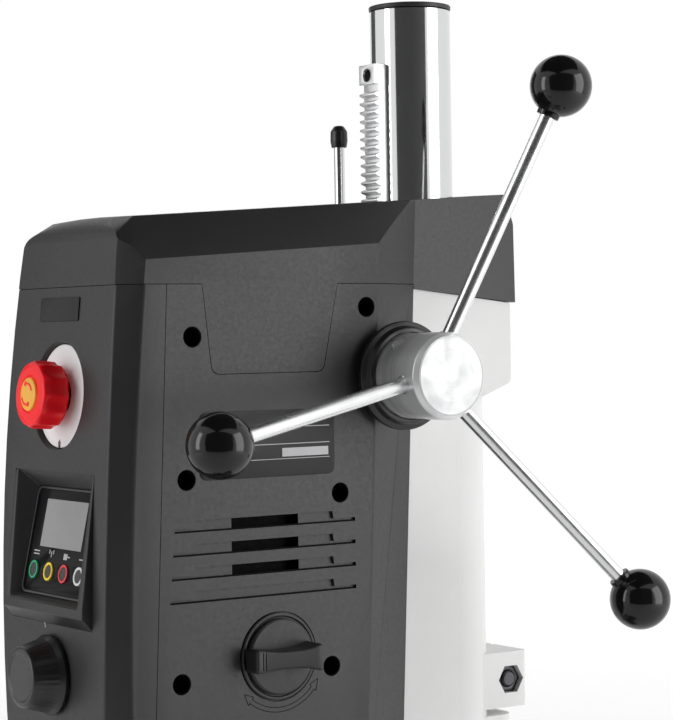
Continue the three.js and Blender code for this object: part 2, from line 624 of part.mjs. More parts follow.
// ---------- gear selector on the right side ----------
function gearSelector() {
  const out = [1, 0, 0];
  const ring = turned([[SIDE_X + GAP, 10], [SIDE_X + GAP, 28.8], [SIDE_X + 1.6, 28.8],
    [SIDE_X + 2.6, 27.2], [SIDE_X + 2.6, 10], [SIDE_X + GAP, 10]], [0, GEAR_Y, GEAR_Z], out, LARGE_ROUND);
  part('gear_escutcheon', ring, blackPlastic);
  const disc = turned([[SIDE_X - 30, 0], [SIDE_X - 30, 9], [SIDE_X + 3, 9], [SIDE_X + 3, 24],
    [SIDE_X + 6, 24], [SIDE_X + 7, 22.6], [SIDE_X + 7, 0]], [0, GEAR_Y, GEAR_Z], out, MEDIUM_ROUND);
  const grip = plan([[SIDE_X + 5, GEAR_Y - 26, 4], [SIDE_X + 22, GEAR_Y - 24, 6],
    [SIDE_X + 24, GEAR_Y + 20, 3], [SIDE_X + 5, GEAR_Y + 22, 3]], GEAR_Z - 7.5, GEAR_Z + 7.5);
  part('gear_knob', join(disc, grip), blackPlastic);
}

// ---------- feed capstan ----------
const FIRST_ROD = 70.3 * Math.PI / 180;
const HUB_BACK = 92.6;
const HUB_FACE = 141.5;
const ROD_ROOT_X = 128;
const BALL_X = 176.5;

function capstan() {
  const at = [0, FEED_Y, 0];
  const out = [1, 0, 0];
  part('feed_collar', turned([[83.7, 10.4], [83.7, 36.8], [88.5, 36.8], [88.5, 34], [92.3, 33],
    [92.3, 10.4], [83.7, 10.4]], at, out, MEDIUM_ROUND), blackPlastic);
  const shaft = join(rod(10, [-79, FEED_Y, 0], [HUB_BACK + 22, FEED_Y, 0], SMALL_ROUND),
    crossPinion(-15, 15, FEED_Y, 0, -1));
  part('pinion_shaft', shaft, steel);
  const hubProfile = [[HUB_BACK, 0], [HUB_BACK, HUB_RADIUS - 1], [112, HUB_RADIUS - 1],
    [112, HUB_RADIUS], [HUB_FACE - 4, HUB_RADIUS], [HUB_FACE, HUB_RADIUS - 4], [HUB_FACE, 0]];
  let hub = cut(turned(hubProfile, at, out, LARGE_ROUND),
    rod(10 + GAP, [HUB_BACK - 1, FEED_Y, 0], [HUB_BACK + 22.5, FEED_Y, 0], SMALL_ROUND));
  const slope = (BALL_X - ROD_ROOT_X) / (BALL_REACH - HUB_RADIUS);
  const tip = BALL_REACH - 8;
  for (let i = 0; i < 3; i += 1) {
    const angle = FIRST_ROD + i * 2 * Math.PI / 3;
    const place = (reach) => [ROD_ROOT_X + slope * (reach - HUB_RADIUS),
      FEED_Y + reach * Math.cos(angle), reach * Math.sin(angle)];
    hub = cut(hub, rod(5 + GAP, place(13), place(40), TINY_ROUND));
    part(`capstan_rod_${i + 1}`, rod(5, place(14), place(tip), TINY_ROUND), chrome);
    const ball = new THREE.SphereGeometry(BALL_RADIUS, 16, 10);
    ball.translate(...place(BALL_REACH));
    const neck = rod(7.5, place(BALL_REACH - 22), place(BALL_REACH - 15), SMALL_ROUND);
    const socket = rod(5 + GAP, place(BALL_REACH - 30), place(tip + GAP), TINY_ROUND);
    part(`capstan_ball_${i + 1}`, cut(join(solid(ball), neck), socket), blackPlastic);
  }
  part('capstan_hub', hub, aluminium);
  const springCap = turned([[83.7, 10.4], [83.7, 31], [104, 31], [107, 28], [107, 0], [104, 0],
    [104, 10.4], [83.7, 10.4]], at, [-1, 0, 0], MEDIUM_ROUND);
  part('return_spring_cap', springCap, blackPlastic);
}

// ---------- quill, spindle and collet ----------
const QUILL_BOTTOM = -318;
const QUILL_TOP = 64;
const NOSE_Z = -332;                // underside of the spindle nose
const COLLET_Z = -362;
const QUILL_PITCH_LINE = FEED_Y - PINION_RADIUS - GAP;

function quillAndSpindle() {
  const axis = [0, 0, 1];
  const at = [0, SPINDLE_Y, 0];
  const tube = turned([[QUILL_BOTTOM, 15.3], [QUILL_BOTTOM, 27], [QUILL_BOTTOM + 3, QUILL_RADIUS],
    [QUILL_TOP, QUILL_RADIUS], [QUILL_TOP, 20], [-14, 20], [-14, 15.3], [QUILL_BOTTOM, 15.3]],
    at, axis, LARGE_ROUND);
  const face = QUILL_PITCH_LINE + TIP * TOOTH_MODULE;
  const low = -20;
  const teeth = rackTeeth(QUILL_PITCH_LINE, 1, 0, low, QUILL_TOP + 8);
  const slot = sideProfile([[face + 10, low + 1], ...teeth, [face + 10, QUILL_TOP + 8]], -17, 17);
  part('quill', cut(tube, slot), steel);
  const shaft = turned([[NOSE_Z, 8], [NOSE_Z, 20], [QUILL_BOTTOM - GAP, 20], [QUILL_BOTTOM - GAP, 15],
    [-15, 15], [-15, 9], [60, 9], [60, 0], [-300, 0], [-300, 6], [NOSE_Z, 8]], at, axis, MEDIUM_ROUND);
  part('spindle', shaft, steel);
  const under = NOSE_Z - GAP;
  const collet = turned([[COLLET_Z, 4], [COLLET_Z, 9], [COLLET_Z + 6, 10.5], [under, 10.5], [under, 4],
    [COLLET_Z, 4]], at, axis, SMALL_ROUND);
  part('collet', collet, steel);
  let nut = turned([[-359, 11], [-359, 19], [-356, 21], [-336, 21], [under, 20], [under, 11], [-359, 11]],
    at, axis, MEDIUM_ROUND);
  for (let notch = 0; notch < 6; notch += 1) {
    const x = 23 * Math.cos(notch * Math.PI / 3);
    const y = SPINDLE_Y + 23 * Math.sin(notch * Math.PI / 3);
    nut = cut(nut, rod(3, [x, y, -360], [x, y, -340], TINY_ROUND));
  }
  part('collet_nut', nut, darkSteel);
}

// ---------- motor and gear train ----------
const GEAR_MODULE = 2;
const SMALL_TEETH = 22;
const LARGE_TEETH = 36;
const CENTRES = GEAR_MODULE * (SMALL_TEETH + LARGE_TEETH) / 2 + 0.2;
const MOTOR_Y = SPINDLE_Y - 96;
const COUNTER_Y = (MOTOR_Y + SPINDLE_Y) / 2;
const COUNTER_X = -Math.sqrt(CENTRES ** 2 - 48 ** 2);
const LOWER_GEAR_Z = 80;
const UPPER_GEAR_Z = 90;
const GEAR_WIDTH = 7;

function gearTrain() {
  const towardsMotor = Math.atan2(MOTOR_Y - COUNTER_Y, -COUNTER_X);
  const towardsSpindle = Math.atan2(SPINDLE_Y - COUNTER_Y, -COUNTER_X);
  const axis = [0, 0, 1];
  const plate = cut(plan([[-56, -252, 8], [45, -252, 8], [45, -52, 8], [-56, -52, 8]], 70, 76),
    rod(18, [0, SPINDLE_Y, 60], [0, SPINDLE_Y, 80]),
    rod(8.4, [0, MOTOR_Y, 60], [0, MOTOR_Y, 80], SMALL_ROUND),
    rod(6 + GAP, [COUNTER_X, COUNTER_Y, 60], [COUNTER_X, COUNTER_Y, 80], SMALL_ROUND));
  part('gear_plate', plate, aluminium);
  const housing = turned([[-62, 0], [-62, 38], [-58, 42], [62, 42], [69.7, 38], [69.7, 8], [20, 8],
    [20, 0]], [0, MOTOR_Y, 0], axis, MEDIUM_ROUND);
  part('motor_housing', housing, darkSteel);
  const pinion = spurWheel(SMALL_TEETH, GEAR_MODULE, GEAR_WIDTH, LOWER_GEAR_Z, towardsMotor + Math.PI);
  const motorShaft = join(rod(7, [0, 0, 21], [0, 0, 92], SMALL_ROUND), pinion);
  part('motor_shaft', motorShaft.translate([0, MOTOR_Y, 0]), steel);
  const half = Math.PI / LARGE_TEETH;
  const large = spurWheel(LARGE_TEETH, GEAR_MODULE, GEAR_WIDTH, LOWER_GEAR_Z, towardsMotor + half);
  const small = spurWheel(SMALL_TEETH, GEAR_MODULE, GEAR_WIDTH, UPPER_GEAR_Z, towardsSpindle);
  const counter = join(rod(6, [0, 0, 64], [0, 0, 99], SMALL_ROUND),
    rod(11, [0, 0, 80], [0, 0, 97], SMALL_ROUND), large, small);
  part('counter_shaft', counter.translate([COUNTER_X, COUNTER_Y, 0]), steel);
  const driven = spurWheel(LARGE_TEETH, GEAR_MODULE, GEAR_WIDTH, UPPER_GEAR_Z,
    towardsSpindle + Math.PI + half);
  const sleeve = turned([[2, 0], [2, 14], [99, 14], [99, 0]], [0, 0, 0], axis, MEDIUM_ROUND);
  const driveSleeve = cut(join(sleeve, driven), rod(9 + GAP, [0, 0, 0], [0, 0, 110], MEDIUM_ROUND));
  part('drive_sleeve', driveSleeve.translate([0, SPINDLE_Y, 0]), steel);
}

// ---------- lifting crank and head lock on the left side ----------
const CRANK_X = -92;
const CRANK_LENGTH = 85;

function liftingCrank() {
  const shaft = join(rod(8, [CRANK_X - 10, LIFT_Y, LIFT_Z], [10, LIFT_Y, LIFT_Z], SMALL_ROUND),
    crossPinion(-9, 9.2, LIFT_Y, LIFT_Z, 1));
  part('lifting_shaft', shaft, steel);
  const tip = LIFT_Z - CRANK_LENGTH;
  const bar = sideProfile([[LIFT_Y - 14, LIFT_Z + 14, 10], [LIFT_Y - 9, tip - 9, 8],
    [LIFT_Y + 9, tip - 9, 8], [LIFT_Y + 14, LIFT_Z + 14, 10]], CRANK_X - 10, CRANK_X + 2);
  const arm = cut(bar,
    rod(8 + GAP, [CRANK_X - 12, LIFT_Y, LIFT_Z], [CRANK_X + 4, LIFT_Y, LIFT_Z], SMALL_ROUND),
    rod(4 + GAP, [CRANK_X - 12, LIFT_Y, tip], [CRANK_X + 4, LIFT_Y, tip], TINY_ROUND));
  part('crank_arm', arm, darkSteel);
  const grip = turned([[-1, 0], [-1, 4], [10 + GAP, 4], [10 + GAP, 8], [16, 9.5], [40, 12], [58, 11],
    [64, 7], [65, 0]], [CRANK_X, LIFT_Y, tip], [-1, 0, 0], SMALL_ROUND);
  part('crank_grip', grip, blackPlastic);
}

function headLock() {
  const x = -61;
  const boss = turned([[-26, 0], [-26, 6], [-48 - GAP, 6], [-48 - GAP, 9], [-68, 9], [-70, 7], [-70, 0]],
    [0, LOCK_Y, LOCK_Z], [1, 0, 0], SMALL_ROUND);
  const handle = rod(3.5, [x, LOCK_Y, LOCK_Z], [x, LOCK_Y, 172], TINY_ROUND);
  part('lock_lever', join(boss, handle), chrome);
  const cap = turned([[160, 3.8], [160, 6], [161, 6.8], [171, 6.8], [175, 5.4], [177, 2.4], [177.4, 0],
    [172.4, 0], [172.4, 3.8], [160, 3.8]], [x, LOCK_Y, 0], [0, 0, 1], SMALL_ROUND);
  part('lock_lever_cap', cap, blackPlastic);
}

// ---------- cross table (bench coordinates) ----------
const SADDLE_TOP = 96;
const X_SCREW_Z = 108;
const WHEEL_RADIUS = 38;
const PLAY = 0.6;                   // clearance across each dovetail

function crossTable() {
  const y0 = SPINDLE_Y;
  const lower = join(box(-62, 62, y0 - 62, y0 + 46, WAY_TOP - 16, 84),
    box(-62, 62, y0 - 46, y0 + 42, 80, 84));
  const wayFit = frontProfile(mirrored([[38 + PLAY, 30], [38 + PLAY, 48], [46 + PLAY, WAY_TOP + GAP]]),
    0, -300);
  const upperWay = sideProfile([[y0 - 30, 83], [y0 + 30, 83], [y0 + 38, SADDLE_TOP],
    [y0 - 38, SADDLE_TOP]], -62, 62);
  const nut = box(-12, 12, y0 - 16, y0 + 16, 43, WAY_TOP + 4);
  let saddle = join(cut(join(lower, upperWay), wayFit), nut);
  saddle = cut(saddle, rod(5 + GAP, [0, -300, Y_SCREW_Z], [0, 0, Y_SCREW_Z], SMALL_ROUND),
    box(-70, 70, y0 - 12, y0 + 12, 90, 100));
  part('saddle', saddle, castIron, machine);
  let table = box(-TABLE_HALF_LENGTH, TABLE_HALF_LENGTH, y0 - TABLE_HALF_WIDTH, y0 + TABLE_HALF_WIDTH,
    84.4, TABLE_TOP);
  table = cut(table, sideProfile([[y0 - 30 - PLAY, 80], [y0 + 30 + PLAY, 80], [y0 + 30 + PLAY, 84],
    [y0 + 38 + PLAY, SADDLE_TOP + GAP], [y0 - 38 - PLAY, SADDLE_TOP + GAP], [y0 - 30 - PLAY, 84]],
    -200, 200));
  table = cut(table, rod(5 + GAP, [-200, y0, X_SCREW_Z], [200, y0, X_SCREW_Z], SMALL_ROUND));
  for (const offset of [-40, 0, 40]) {
    const y = y0 + offset;
    table = cut(table, box(-200, 200, y - 5, y + 5, TABLE_TOP - 9, TABLE_TOP + 1),
      box(-200, 200, y - 9, y + 9, TABLE_TOP - 16, TABLE_TOP - 8.5));
  }
  part('table', table, castIron, machine);
}

function handwheel(name, centre, out) {
  const profile = [[2, 0], [2, 12], [14, 12], [14, 24], [5, 33], [5, WHEEL_RADIUS], [17, WHEEL_RADIUS],
    [17, 34], [18.5, 25], [22, 12], [30, 12], [30, 0]];
  const toSide = Math.abs(out[0]) > 0 ? [0, 1, 0] : [1, 0, 0];
  const along = (distance, aside = 0) => (
    centre.map((value, i) => value + out[i] * distance + toSide[i] * aside));
  const wheel = cut(turned(profile, centre, out, MEDIUM_ROUND),
    rod(5 + GAP, along(0), along(26), SMALL_ROUND),
    rod(3 + GAP, along(0, 29.5), along(28, 29.5), TINY_ROUND));
  part(`${name}_handwheel`, wheel, blackPlastic, machine);
  const grip = turned([[8, 0], [8, 3], [19.4, 3], [19.4, 6], [24, 7.5], [46, 9], [54, 7], [56, 0]],
    along(0, 29.5), out, SMALL_ROUND);
  part(`${name}_handwheel_grip`, grip, blackPlastic, machine);
}

function feedScrews() {
  const xScrew = rod(5, [-TABLE_HALF_LENGTH + 4, SPINDLE_Y, X_SCREW_Z],
    [TABLE_HALF_LENGTH + 27, SPINDLE_Y, X_SCREW_Z], SMALL_ROUND);
  part('x_feed_screw', xScrew, steel, machine);
  handwheel('x', [TABLE_HALF_LENGTH + 2, SPINDLE_Y, X_SCREW_Z], [1, 0, 0]);
  const front = BASE_FRONT - 8;
  const yScrew = rod(5, [0, front - 25, Y_SCREW_Z], [0, -66, Y_SCREW_Z], SMALL_ROUND);
  part('y_feed_screw', yScrew, steel, machine);
  handwheel('y', [0, front - 1, Y_SCREW_Z], [0, -1, 0]);
}

base();
column();
liftingRack();
headCasting();
clampScrew();
upperCover();
frontCover();
sideCovers();
platesAndDial();
stopKnob();
display();
speedKnob();
gearSelector();
capstan();
quillAndSpindle();
gearTrain();
liftingCrank();
headLock();
crossTable();
feedScrews();

export default machine;
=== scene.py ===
"""Looks of the benchtop milling machine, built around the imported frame."""
import json
import math

import bmesh
import bpy
from mathutils import Matrix, Vector


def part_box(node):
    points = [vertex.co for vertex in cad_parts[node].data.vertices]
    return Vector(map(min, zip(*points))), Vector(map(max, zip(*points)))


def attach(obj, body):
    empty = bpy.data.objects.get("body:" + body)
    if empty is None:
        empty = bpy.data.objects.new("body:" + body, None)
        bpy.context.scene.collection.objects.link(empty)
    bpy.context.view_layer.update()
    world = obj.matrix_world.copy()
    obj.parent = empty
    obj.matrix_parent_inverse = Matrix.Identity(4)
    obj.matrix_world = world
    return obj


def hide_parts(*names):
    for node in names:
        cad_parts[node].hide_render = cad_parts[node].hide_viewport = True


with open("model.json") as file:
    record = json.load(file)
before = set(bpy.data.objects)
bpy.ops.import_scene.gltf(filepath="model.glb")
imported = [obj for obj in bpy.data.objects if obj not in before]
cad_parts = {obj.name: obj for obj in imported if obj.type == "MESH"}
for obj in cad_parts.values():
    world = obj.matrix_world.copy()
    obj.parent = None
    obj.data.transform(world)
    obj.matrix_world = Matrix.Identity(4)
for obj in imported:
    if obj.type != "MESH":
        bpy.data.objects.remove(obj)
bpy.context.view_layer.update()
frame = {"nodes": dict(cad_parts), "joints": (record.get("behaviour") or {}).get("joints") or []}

MM = 0.001
JOINTS = {joint["name"]: joint for joint in frame["joints"]}
X = Vector((1, 0, 0))
Y = Vector((0, 1, 0))
Z = Vector((0, 0, 1))


# ---------- driving dimensions, in millimetres ----------
def joint_at(name):
    return Vector(JOINTS[name]["pos_m"]) / MM


def box_mm(node):
    low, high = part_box(node)
    return low / MM, high / MM


FEED = joint_at("feed_turn")
HEAD = FEED.z                          # heights on the head count from the feed axis
FEED_Y = FEED.y
SPINDLE_Y = joint_at("spindle_turn").y
LIFT = joint_at("crank_turn") - Z * HEAD
COLUMN_R = box_mm("column")[1].x
COLUMN_TOP = box_mm("column_cap")[1].z
SIDE_X = box_mm("front_cover")[1].x    # outer face of the side covers
LEAN = 0.047                           # side covers lean forward going down
REAR_CREASE_Y = -92
REAR_HALF = 50
REAR_TURN_Y = -39.6
GROOVE_Y = -255
PARTING_Z = 62.5
SKIRT_Y = -36.2                        # behind this the upper cover hangs lower
COVER_BOTTOM = -296
WALL = 3
ROOF_SLOPE = 0.0645
ROOF_Z = 122.6
ROOF_HALF = 53
EDGE_RISE = 0.7                        # heights of the roof over ROOF_Z at its edges
CROWN = 2                              # and along its middle
ROOF_TURN = 18.7                       # radius from the front face over to the roof
TURN_STEPS = 14
BEVEL_Z = 95
CASTING_HALF = 48
WIDE = 100                             # past either side of the covers
AHEAD = -330                           # past their front


# ---------- mesh building ----------
def arc_corner(before, corner, after, radius, steps):
    """Points of a fillet between two straight runs that meet at a corner."""
    corner = Vector(corner)
    to_before = (Vector(before) - corner).normalized()
    to_after = (Vector(after) - corner).normalized()
    half_angle = to_before.angle(to_after) / 2
    reach = radius / math.tan(half_angle)
    centre = corner + (to_before + to_after).normalized() * radius / math.sin(half_angle)
    start = corner + to_before * reach - centre
    end = corner + to_after * reach - centre
    turn = start.angle(end)
    points = []
    for i in range(steps + 1):
        share = i / steps
        first = math.sin((1 - share) * turn)
        second = math.sin(share * turn)
        points.append(centre + (start * first + end * second) / math.sin(turn))
    return points


def rounded(corners, steps=6, closed=True):
    """Turns corners [a, b] or [a, b, radius] into a list of 2-D points."""
    points = []
    count = len(corners)
    for i, corner in enumerate(corners):
        ends = not closed and i in (0, count - 1)
        if len(corner) < 3 or corner[2] == 0 or ends:
            points.append(Vector(corner[:2]))
            continue
        before = corners[i - 1][:2]
        after = corners[(i + 1) % count][:2]
        points += arc_corner(before, corner[:2], after, corner[2], steps)
    return points


def rectangle(a0, b0, a1, b1, radius=0):
    """Corners of a rectangle, all with one fillet."""
    return [[a0, b0, radius], [a1, b0, radius], [a1, b1, radius], [a0, b1, radius]]


def linked(name, data):
    """A new object in the scene."""
    obj = bpy.data.objects.new(name, data)
    bpy.context.scene.collection.objects.link(obj)
    return obj


def mesh_from(name, bm):
    mesh = bpy.data.meshes.new(name)
    bm.to_mesh(mesh)
    bm.free()
    return mesh


def make_object(name, bm):
    """A mesh object in metres from a bmesh in millimetres."""
    bmesh.ops.remove_doubles(bm, verts=bm.verts, dist=0.001)
    bmesh.ops.recalc_face_normals(bm, faces=bm.faces)
    mesh = mesh_from(name, bm)
    mesh.transform(Matrix.Scale(MM, 4))
    return linked(name, mesh)


def prism(name, corners, across, up, along, origin, depth, steps=6):
    """Extrudes a rounded outline: its two axes are across and up, and it grows along."""
    bm = bmesh.new()
    points = rounded(corners, steps)
    origin = Vector(origin)
    low = [bm.verts.new(origin + across * p[0] + up * p[1]) for p in points]
    high = [bm.verts.new(v.co + along * depth) for v in low]
    bm.faces.new(low)
    bm.faces.new(list(reversed(high)))
    for i, vert in enumerate(low):
        after = (i + 1) % len(low)
        bm.faces.new((vert, high[i], high[after], low[after]))
    return make_object(name, bm)


def side_prism(name, corners, x0, x1, base=None, steps=6):
    """Outline in Y and Z, extruded along X."""
    return prism(name, corners, Y, Z, X, (x0, 0, HEAD if base is None else base), x1 - x0, steps)


def plan_prism(name, corners, z0, z1, base=None, lean=0.0, steps=6):
    """Outline in X and Y, extruded upwards; lean moves it along +Y per unit of height."""
    height = HEAD if base is None else base
    return prism(name, corners, X, Y, Vector((0, lean, 1)), (0, z0 * lean, height + z0), z1 - z0, steps)


def front_prism(name, corners, y0, y1, slope=0.0, base=None, steps=6):
    """Outline in X and Z, extruded from y0 forward to y1; slope is its rise per unit of +Y."""
    height = HEAD if base is None else base
    return prism(name, corners, X, Z, Vector((0, -1, -slope)), (0, y0, height + y0 * slope), y0 - y1, steps)


def stacked(name, heights, outline_at):
    """Joins plan outlines of equal count, stacked at rising heights on the head."""
    bm = bmesh.new()
    rings = [[bm.verts.new((x, y, HEAD + z)) for x, y in outline_at(z)] for z in heights]
    bm.faces.new(list(reversed(rings[0])))
    bm.faces.new(rings[-1])
    for low, high in zip(rings, rings[1:]):
        for i, vert in enumerate(low):
            after = (i + 1) % len(low)
            bm.faces.new((vert, low[after], high[after], high[i]))
    return make_object(name, bm)


def block(name, low, high, base=None):
    return plan_prism(name, rectangle(*low[:2], *high[:2]), low[2], high[2], base)


def lathe(name, profile, origin, direction, rounds=96, closed=False, base=None, steps=4, ripple=None):
    """Turns a profile of [distance, radius, fillet] about a line.

    ripple(angle, distance) gives a factor on the radius, for lobes and flutes.
    """
    points = rounded(profile, steps, closed)
    axis = Vector(direction).normalized()
    side = axis.orthogonal().normalized()
    other = axis.cross(side)
    start = Vector(origin) + Z * (HEAD if base is None else base)
    bm = bmesh.new()
    rings = []
    for along, radius in points:
        centre = start + axis * along
        if radius < 1e-4:
            rings.append([bm.verts.new(centre)])
            continue
        ring = []
        for i in range(rounds):
            angle = 2 * math.pi * i / rounds
            reach = radius * (ripple(angle, along) if ripple else 1)
            ring.append(bm.verts.new(centre + (side * math.cos(angle) + other * math.sin(angle)) * reach))
        rings.append(ring)
    pairs = list(zip(rings, rings[1:]))
    if closed:
        pairs.append((rings[-1], rings[0]))
    for first, second in pairs:
        for i in range(rounds):
            j = (i + 1) % rounds
            around = (first[i % len(first)], second[i % len(second)], second[j % len(second)],
                      first[j % len(first)])
            corners = list(dict.fromkeys(around))
            if len(corners) > 2:
                bm.faces.new(corners)
    return make_object(name, bm)


def bar(name, radius, start, end, rounds=64, base=None, fillet=0.0):
    start = Vector(start)
    end = Vector(end)
    length = (end - start).length
    profile = [[0, 0], [0, radius, fillet], [length, radius, fillet], [length, 0]]
    return lathe(name, profile, start, end - start, rounds, base=base)


def bake_modifiers(obj):
    """Applies the modifiers to the mesh."""
    bpy.context.view_layer.update()
    graph = bpy.context.evaluated_depsgraph_get()
    mesh = bpy.data.meshes.new_from_object(obj.evaluated_get(graph))
    obj.modifiers.clear()
    old = obj.data
    obj.data = mesh
    bpy.data.meshes.remove(old)


def combine(target, operation, *tools):
    for tool in tools:
        modifier = target.modifiers.new("combine", "BOOLEAN")
        modifier.operation = operation
        modifier.solver = "EXACT"
        modifier.object = tool
        bake_modifiers(target)
        bpy.data.objects.remove(tool)
    return target


def cut(target, *tools):
    return combine(target, "DIFFERENCE", *tools)


def join(target, *tools):
    return combine(target, "UNION", *tools)


def common(target, *tools):
    return combine(target, "INTERSECT", *tools)


def tidy_mesh(obj, distance=0.02):
    bm = bmesh.new()
    bm.from_mesh(obj.data)
    bmesh.ops.remove_doubles(bm, verts=bm.verts, dist=distance * MM)
    bmesh.ops.dissolve_limit(bm, angle_limit=math.radians(0.5), verts=bm.verts, edges=bm.edges)
    bm.to_mesh(obj.data)
    bm.free()
    return obj


def soften(obj, width, segments=3, angle=30.0):
    """Rounds every edge sharper than an angle."""
    tidy_mesh(obj)
    modifier = obj.modifiers.new("soften", "BEVEL")
    modifier.width = width * MM
    modifier.segments = segments
    modifier.limit_method = "ANGLE"
    modifier.angle_limit = math.radians(angle)
    modifier.miter_outer = "MITER_ARC"
    bake_modifiers(obj)
    return obj


def smooth(obj, angle=32.0):
    obj.data.polygons.foreach_set("use_smooth", [True] * len(obj.data.polygons))
    obj.data.set_sharp_from_angle(angle=math.radians(angle))
    return obj


def fuse(name, objects):
    """Puts several closed shells into one object."""
    bm = bmesh.new()
    for obj in objects:
        bm.from_mesh(obj.data)
        bpy.data.objects.remove(obj)
    return linked(name, mesh_from(name, bm))


def settle(obj, body, finish, slot, *nodes, angle=32.0):
    """Gives a piece its finish, its body and the CAD nodes that it stands for."""
    smooth(obj, angle)
    obj.data.materials.clear()
    obj.data.materials.append(finish)
    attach(obj, body)
    if nodes:
        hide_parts(*nodes)
    return obj


# ---------- materials ----------
class Nodes:
    """A short way to write a node tree around one Principled shader."""

    def __init__(self, name):
        self.material = bpy.data.materials.new(name)
        self.material.use_nodes = True
        self.tree = self.material.node_tree
        self.shader = self.tree.nodes["Principled BSDF"]
        self.place = self.add("ShaderNodeTexCoord").outputs["Object"]

    def add(self, kind, **settings):
        node = self.tree.nodes.new(kind)
        for key, value in settings.items():
            setattr(node, key, value)
        return node

    def link(self, output, node, key):
        self.tree.links.new(output, node.inputs[key])

    def stretched(self, scale):
        mapping = self.add("ShaderNodeMapping")
        mapping.inputs["Scale"].default_value = scale
        self.link(self.place, mapping, "Vector")
        return mapping.outputs["Vector"]

    def noise(self, size, detail=3.0, vector=None, rough=0.5):
        """Noise whose features are about size metres."""
        node = self.add("ShaderNodeTexNoise")
        node.inputs["Scale"].default_value = 1 / size
        node.inputs["Detail"].default_value = detail
        node.inputs["Roughness"].default_value = rough
        self.link(vector or self.place, node, "Vector")
        return node.outputs["Fac"]

    def spread(self, value, low, high, start=0.3, end=0.7):
        node = self.add("ShaderNodeMapRange")
        node.inputs["From Min"].default_value = start
        node.inputs["From Max"].default_value = end
        node.inputs["To Min"].default_value = low
        node.inputs["To Max"].default_value = high
        self.link(value, node, "Value")
        return node.outputs["Result"]

    def mix(self, share, first, second):
        node = self.add("ShaderNodeMix", data_type="RGBA")
        self.link(share, node, "Factor")
        for key, value in ((6, first), (7, second)):
            if isinstance(value, bpy.types.NodeSocket):
                self.tree.links.new(value, node.inputs[key])
            else:
                node.inputs[key].default_value = (*value, 1)
        return node.outputs[2]

    def bump(self, height, distance, strength=1.0, under=None):
        node = self.add("ShaderNodeBump")
        node.inputs["Strength"].default_value = strength
        node.inputs["Distance"].default_value = distance
        self.link(height, node, "Height")
        if under is not None:
            self.link(under, node, "Normal")
        return node.outputs["Normal"]

    def edges(self, start=0.52, end=0.6):
        """Convex edges, from the surface's pointiness."""
        geometry = self.add("ShaderNodeNewGeometry")
        return self.spread(geometry.outputs["Pointiness"], 0.0, 1.0, start, end)

    def vector_maths(self, operation, first, second):
        node = self.add("ShaderNodeVectorMath", operation=operation)
        self.link(first, node, 0)
        if second is not None:
            node.inputs[1].default_value = tuple(second)
        return node

    def dress(self, body, rough, normal, metallic=0.0):
        """Links colour, gloss and bump to the shader, and gives the material."""
        self.link(body, self.shader, "Base Color")
        self.link(rough, self.shader, "Roughness")
        self.link(normal, self.shader, "Normal")
        self.shader.inputs["Metallic"].default_value = metallic
        return self.material


def tinted(colour, factor):
    return tuple(min(1.0, c * factor) for c in colour)


def grained(name, colour, rough, grain=0.0006, height=0.00003, wear=0.25, spread=0.18, specular=0.5):
    """Moulded plastic or paint: fine grain, slow variation of colour and gloss, worn edges."""
    nodes = Nodes(name)
    slow = nodes.noise(0.05, 4)
    fine = nodes.noise(grain, 2)
    speck = nodes.noise(0.0025, 3)
    dark = tinted(colour, 1 - spread / 2)
    light = tinted(colour, 1 + spread / 2)
    body = nodes.mix(nodes.spread(slow, 0, 1), dark, light)
    body = nodes.mix(nodes.spread(fine, 0, 0.35), body, tinted(colour, 1.25))
    worn = nodes.mix(nodes.spread(nodes.edges(), 0, wear, 0, 1), body, tinted(colour, 1.9))
    nodes.shader.inputs["Specular IOR Level"].default_value = specular
    return nodes.dress(worn, nodes.spread(speck, rough * 0.9, rough * 1.12), nodes.bump(fine, height))


def metal(name, colour, rough, streak=(1, 1, 1), height=0.000004, variation=0.12):
    """Metal with fine marks, drawn out by the streak scale."""
    nodes = Nodes(name)
    marks = nodes.noise(0.0008, 5, nodes.stretched(streak), 0.6)
    smudge = nodes.noise(0.02, 4)
    dark = tinted(colour, 1 - variation)
    light = tinted(colour, 1 + variation / 2)
    body = nodes.mix(nodes.spread(marks, 0, 1), dark, light)
    gloss = nodes.spread(smudge, rough * 0.85, rough * 1.2)
    return nodes.dress(body, gloss, nodes.bump(marks, height), 1.0)


def turned_aluminium(name, colour, rough, ring=0.0005, variation=0.15, metallic=1.0):
    """Aluminium turned on the feed axis: fine rings, on faces and round the rim alike."""
    nodes = Nodes(name)
    from_axis = nodes.vector_maths("SUBTRACT", nodes.place, FEED * MM).outputs["Vector"]
    across = nodes.vector_maths("CROSS_PRODUCT", from_axis, X).outputs["Vector"]
    pair = nodes.add("ShaderNodeCombineXYZ")
    nodes.link(nodes.vector_maths("LENGTH", across, None).outputs["Value"], pair, "X")
    nodes.link(nodes.vector_maths("DOT_PRODUCT", from_axis, X).outputs["Value"], pair, "Y")
    rings = nodes.noise(ring, 3, pair.outputs["Vector"])
    broad = nodes.noise(0.012, 3)
    body = nodes.mix(nodes.spread(rings, 0, 1), tinted(colour, 1 - variation), colour)
    gloss = nodes.spread(broad, rough * 0.85, rough * 1.15)
    return nodes.dress(body, gloss, nodes.bump(rings, 0.000006), metallic)


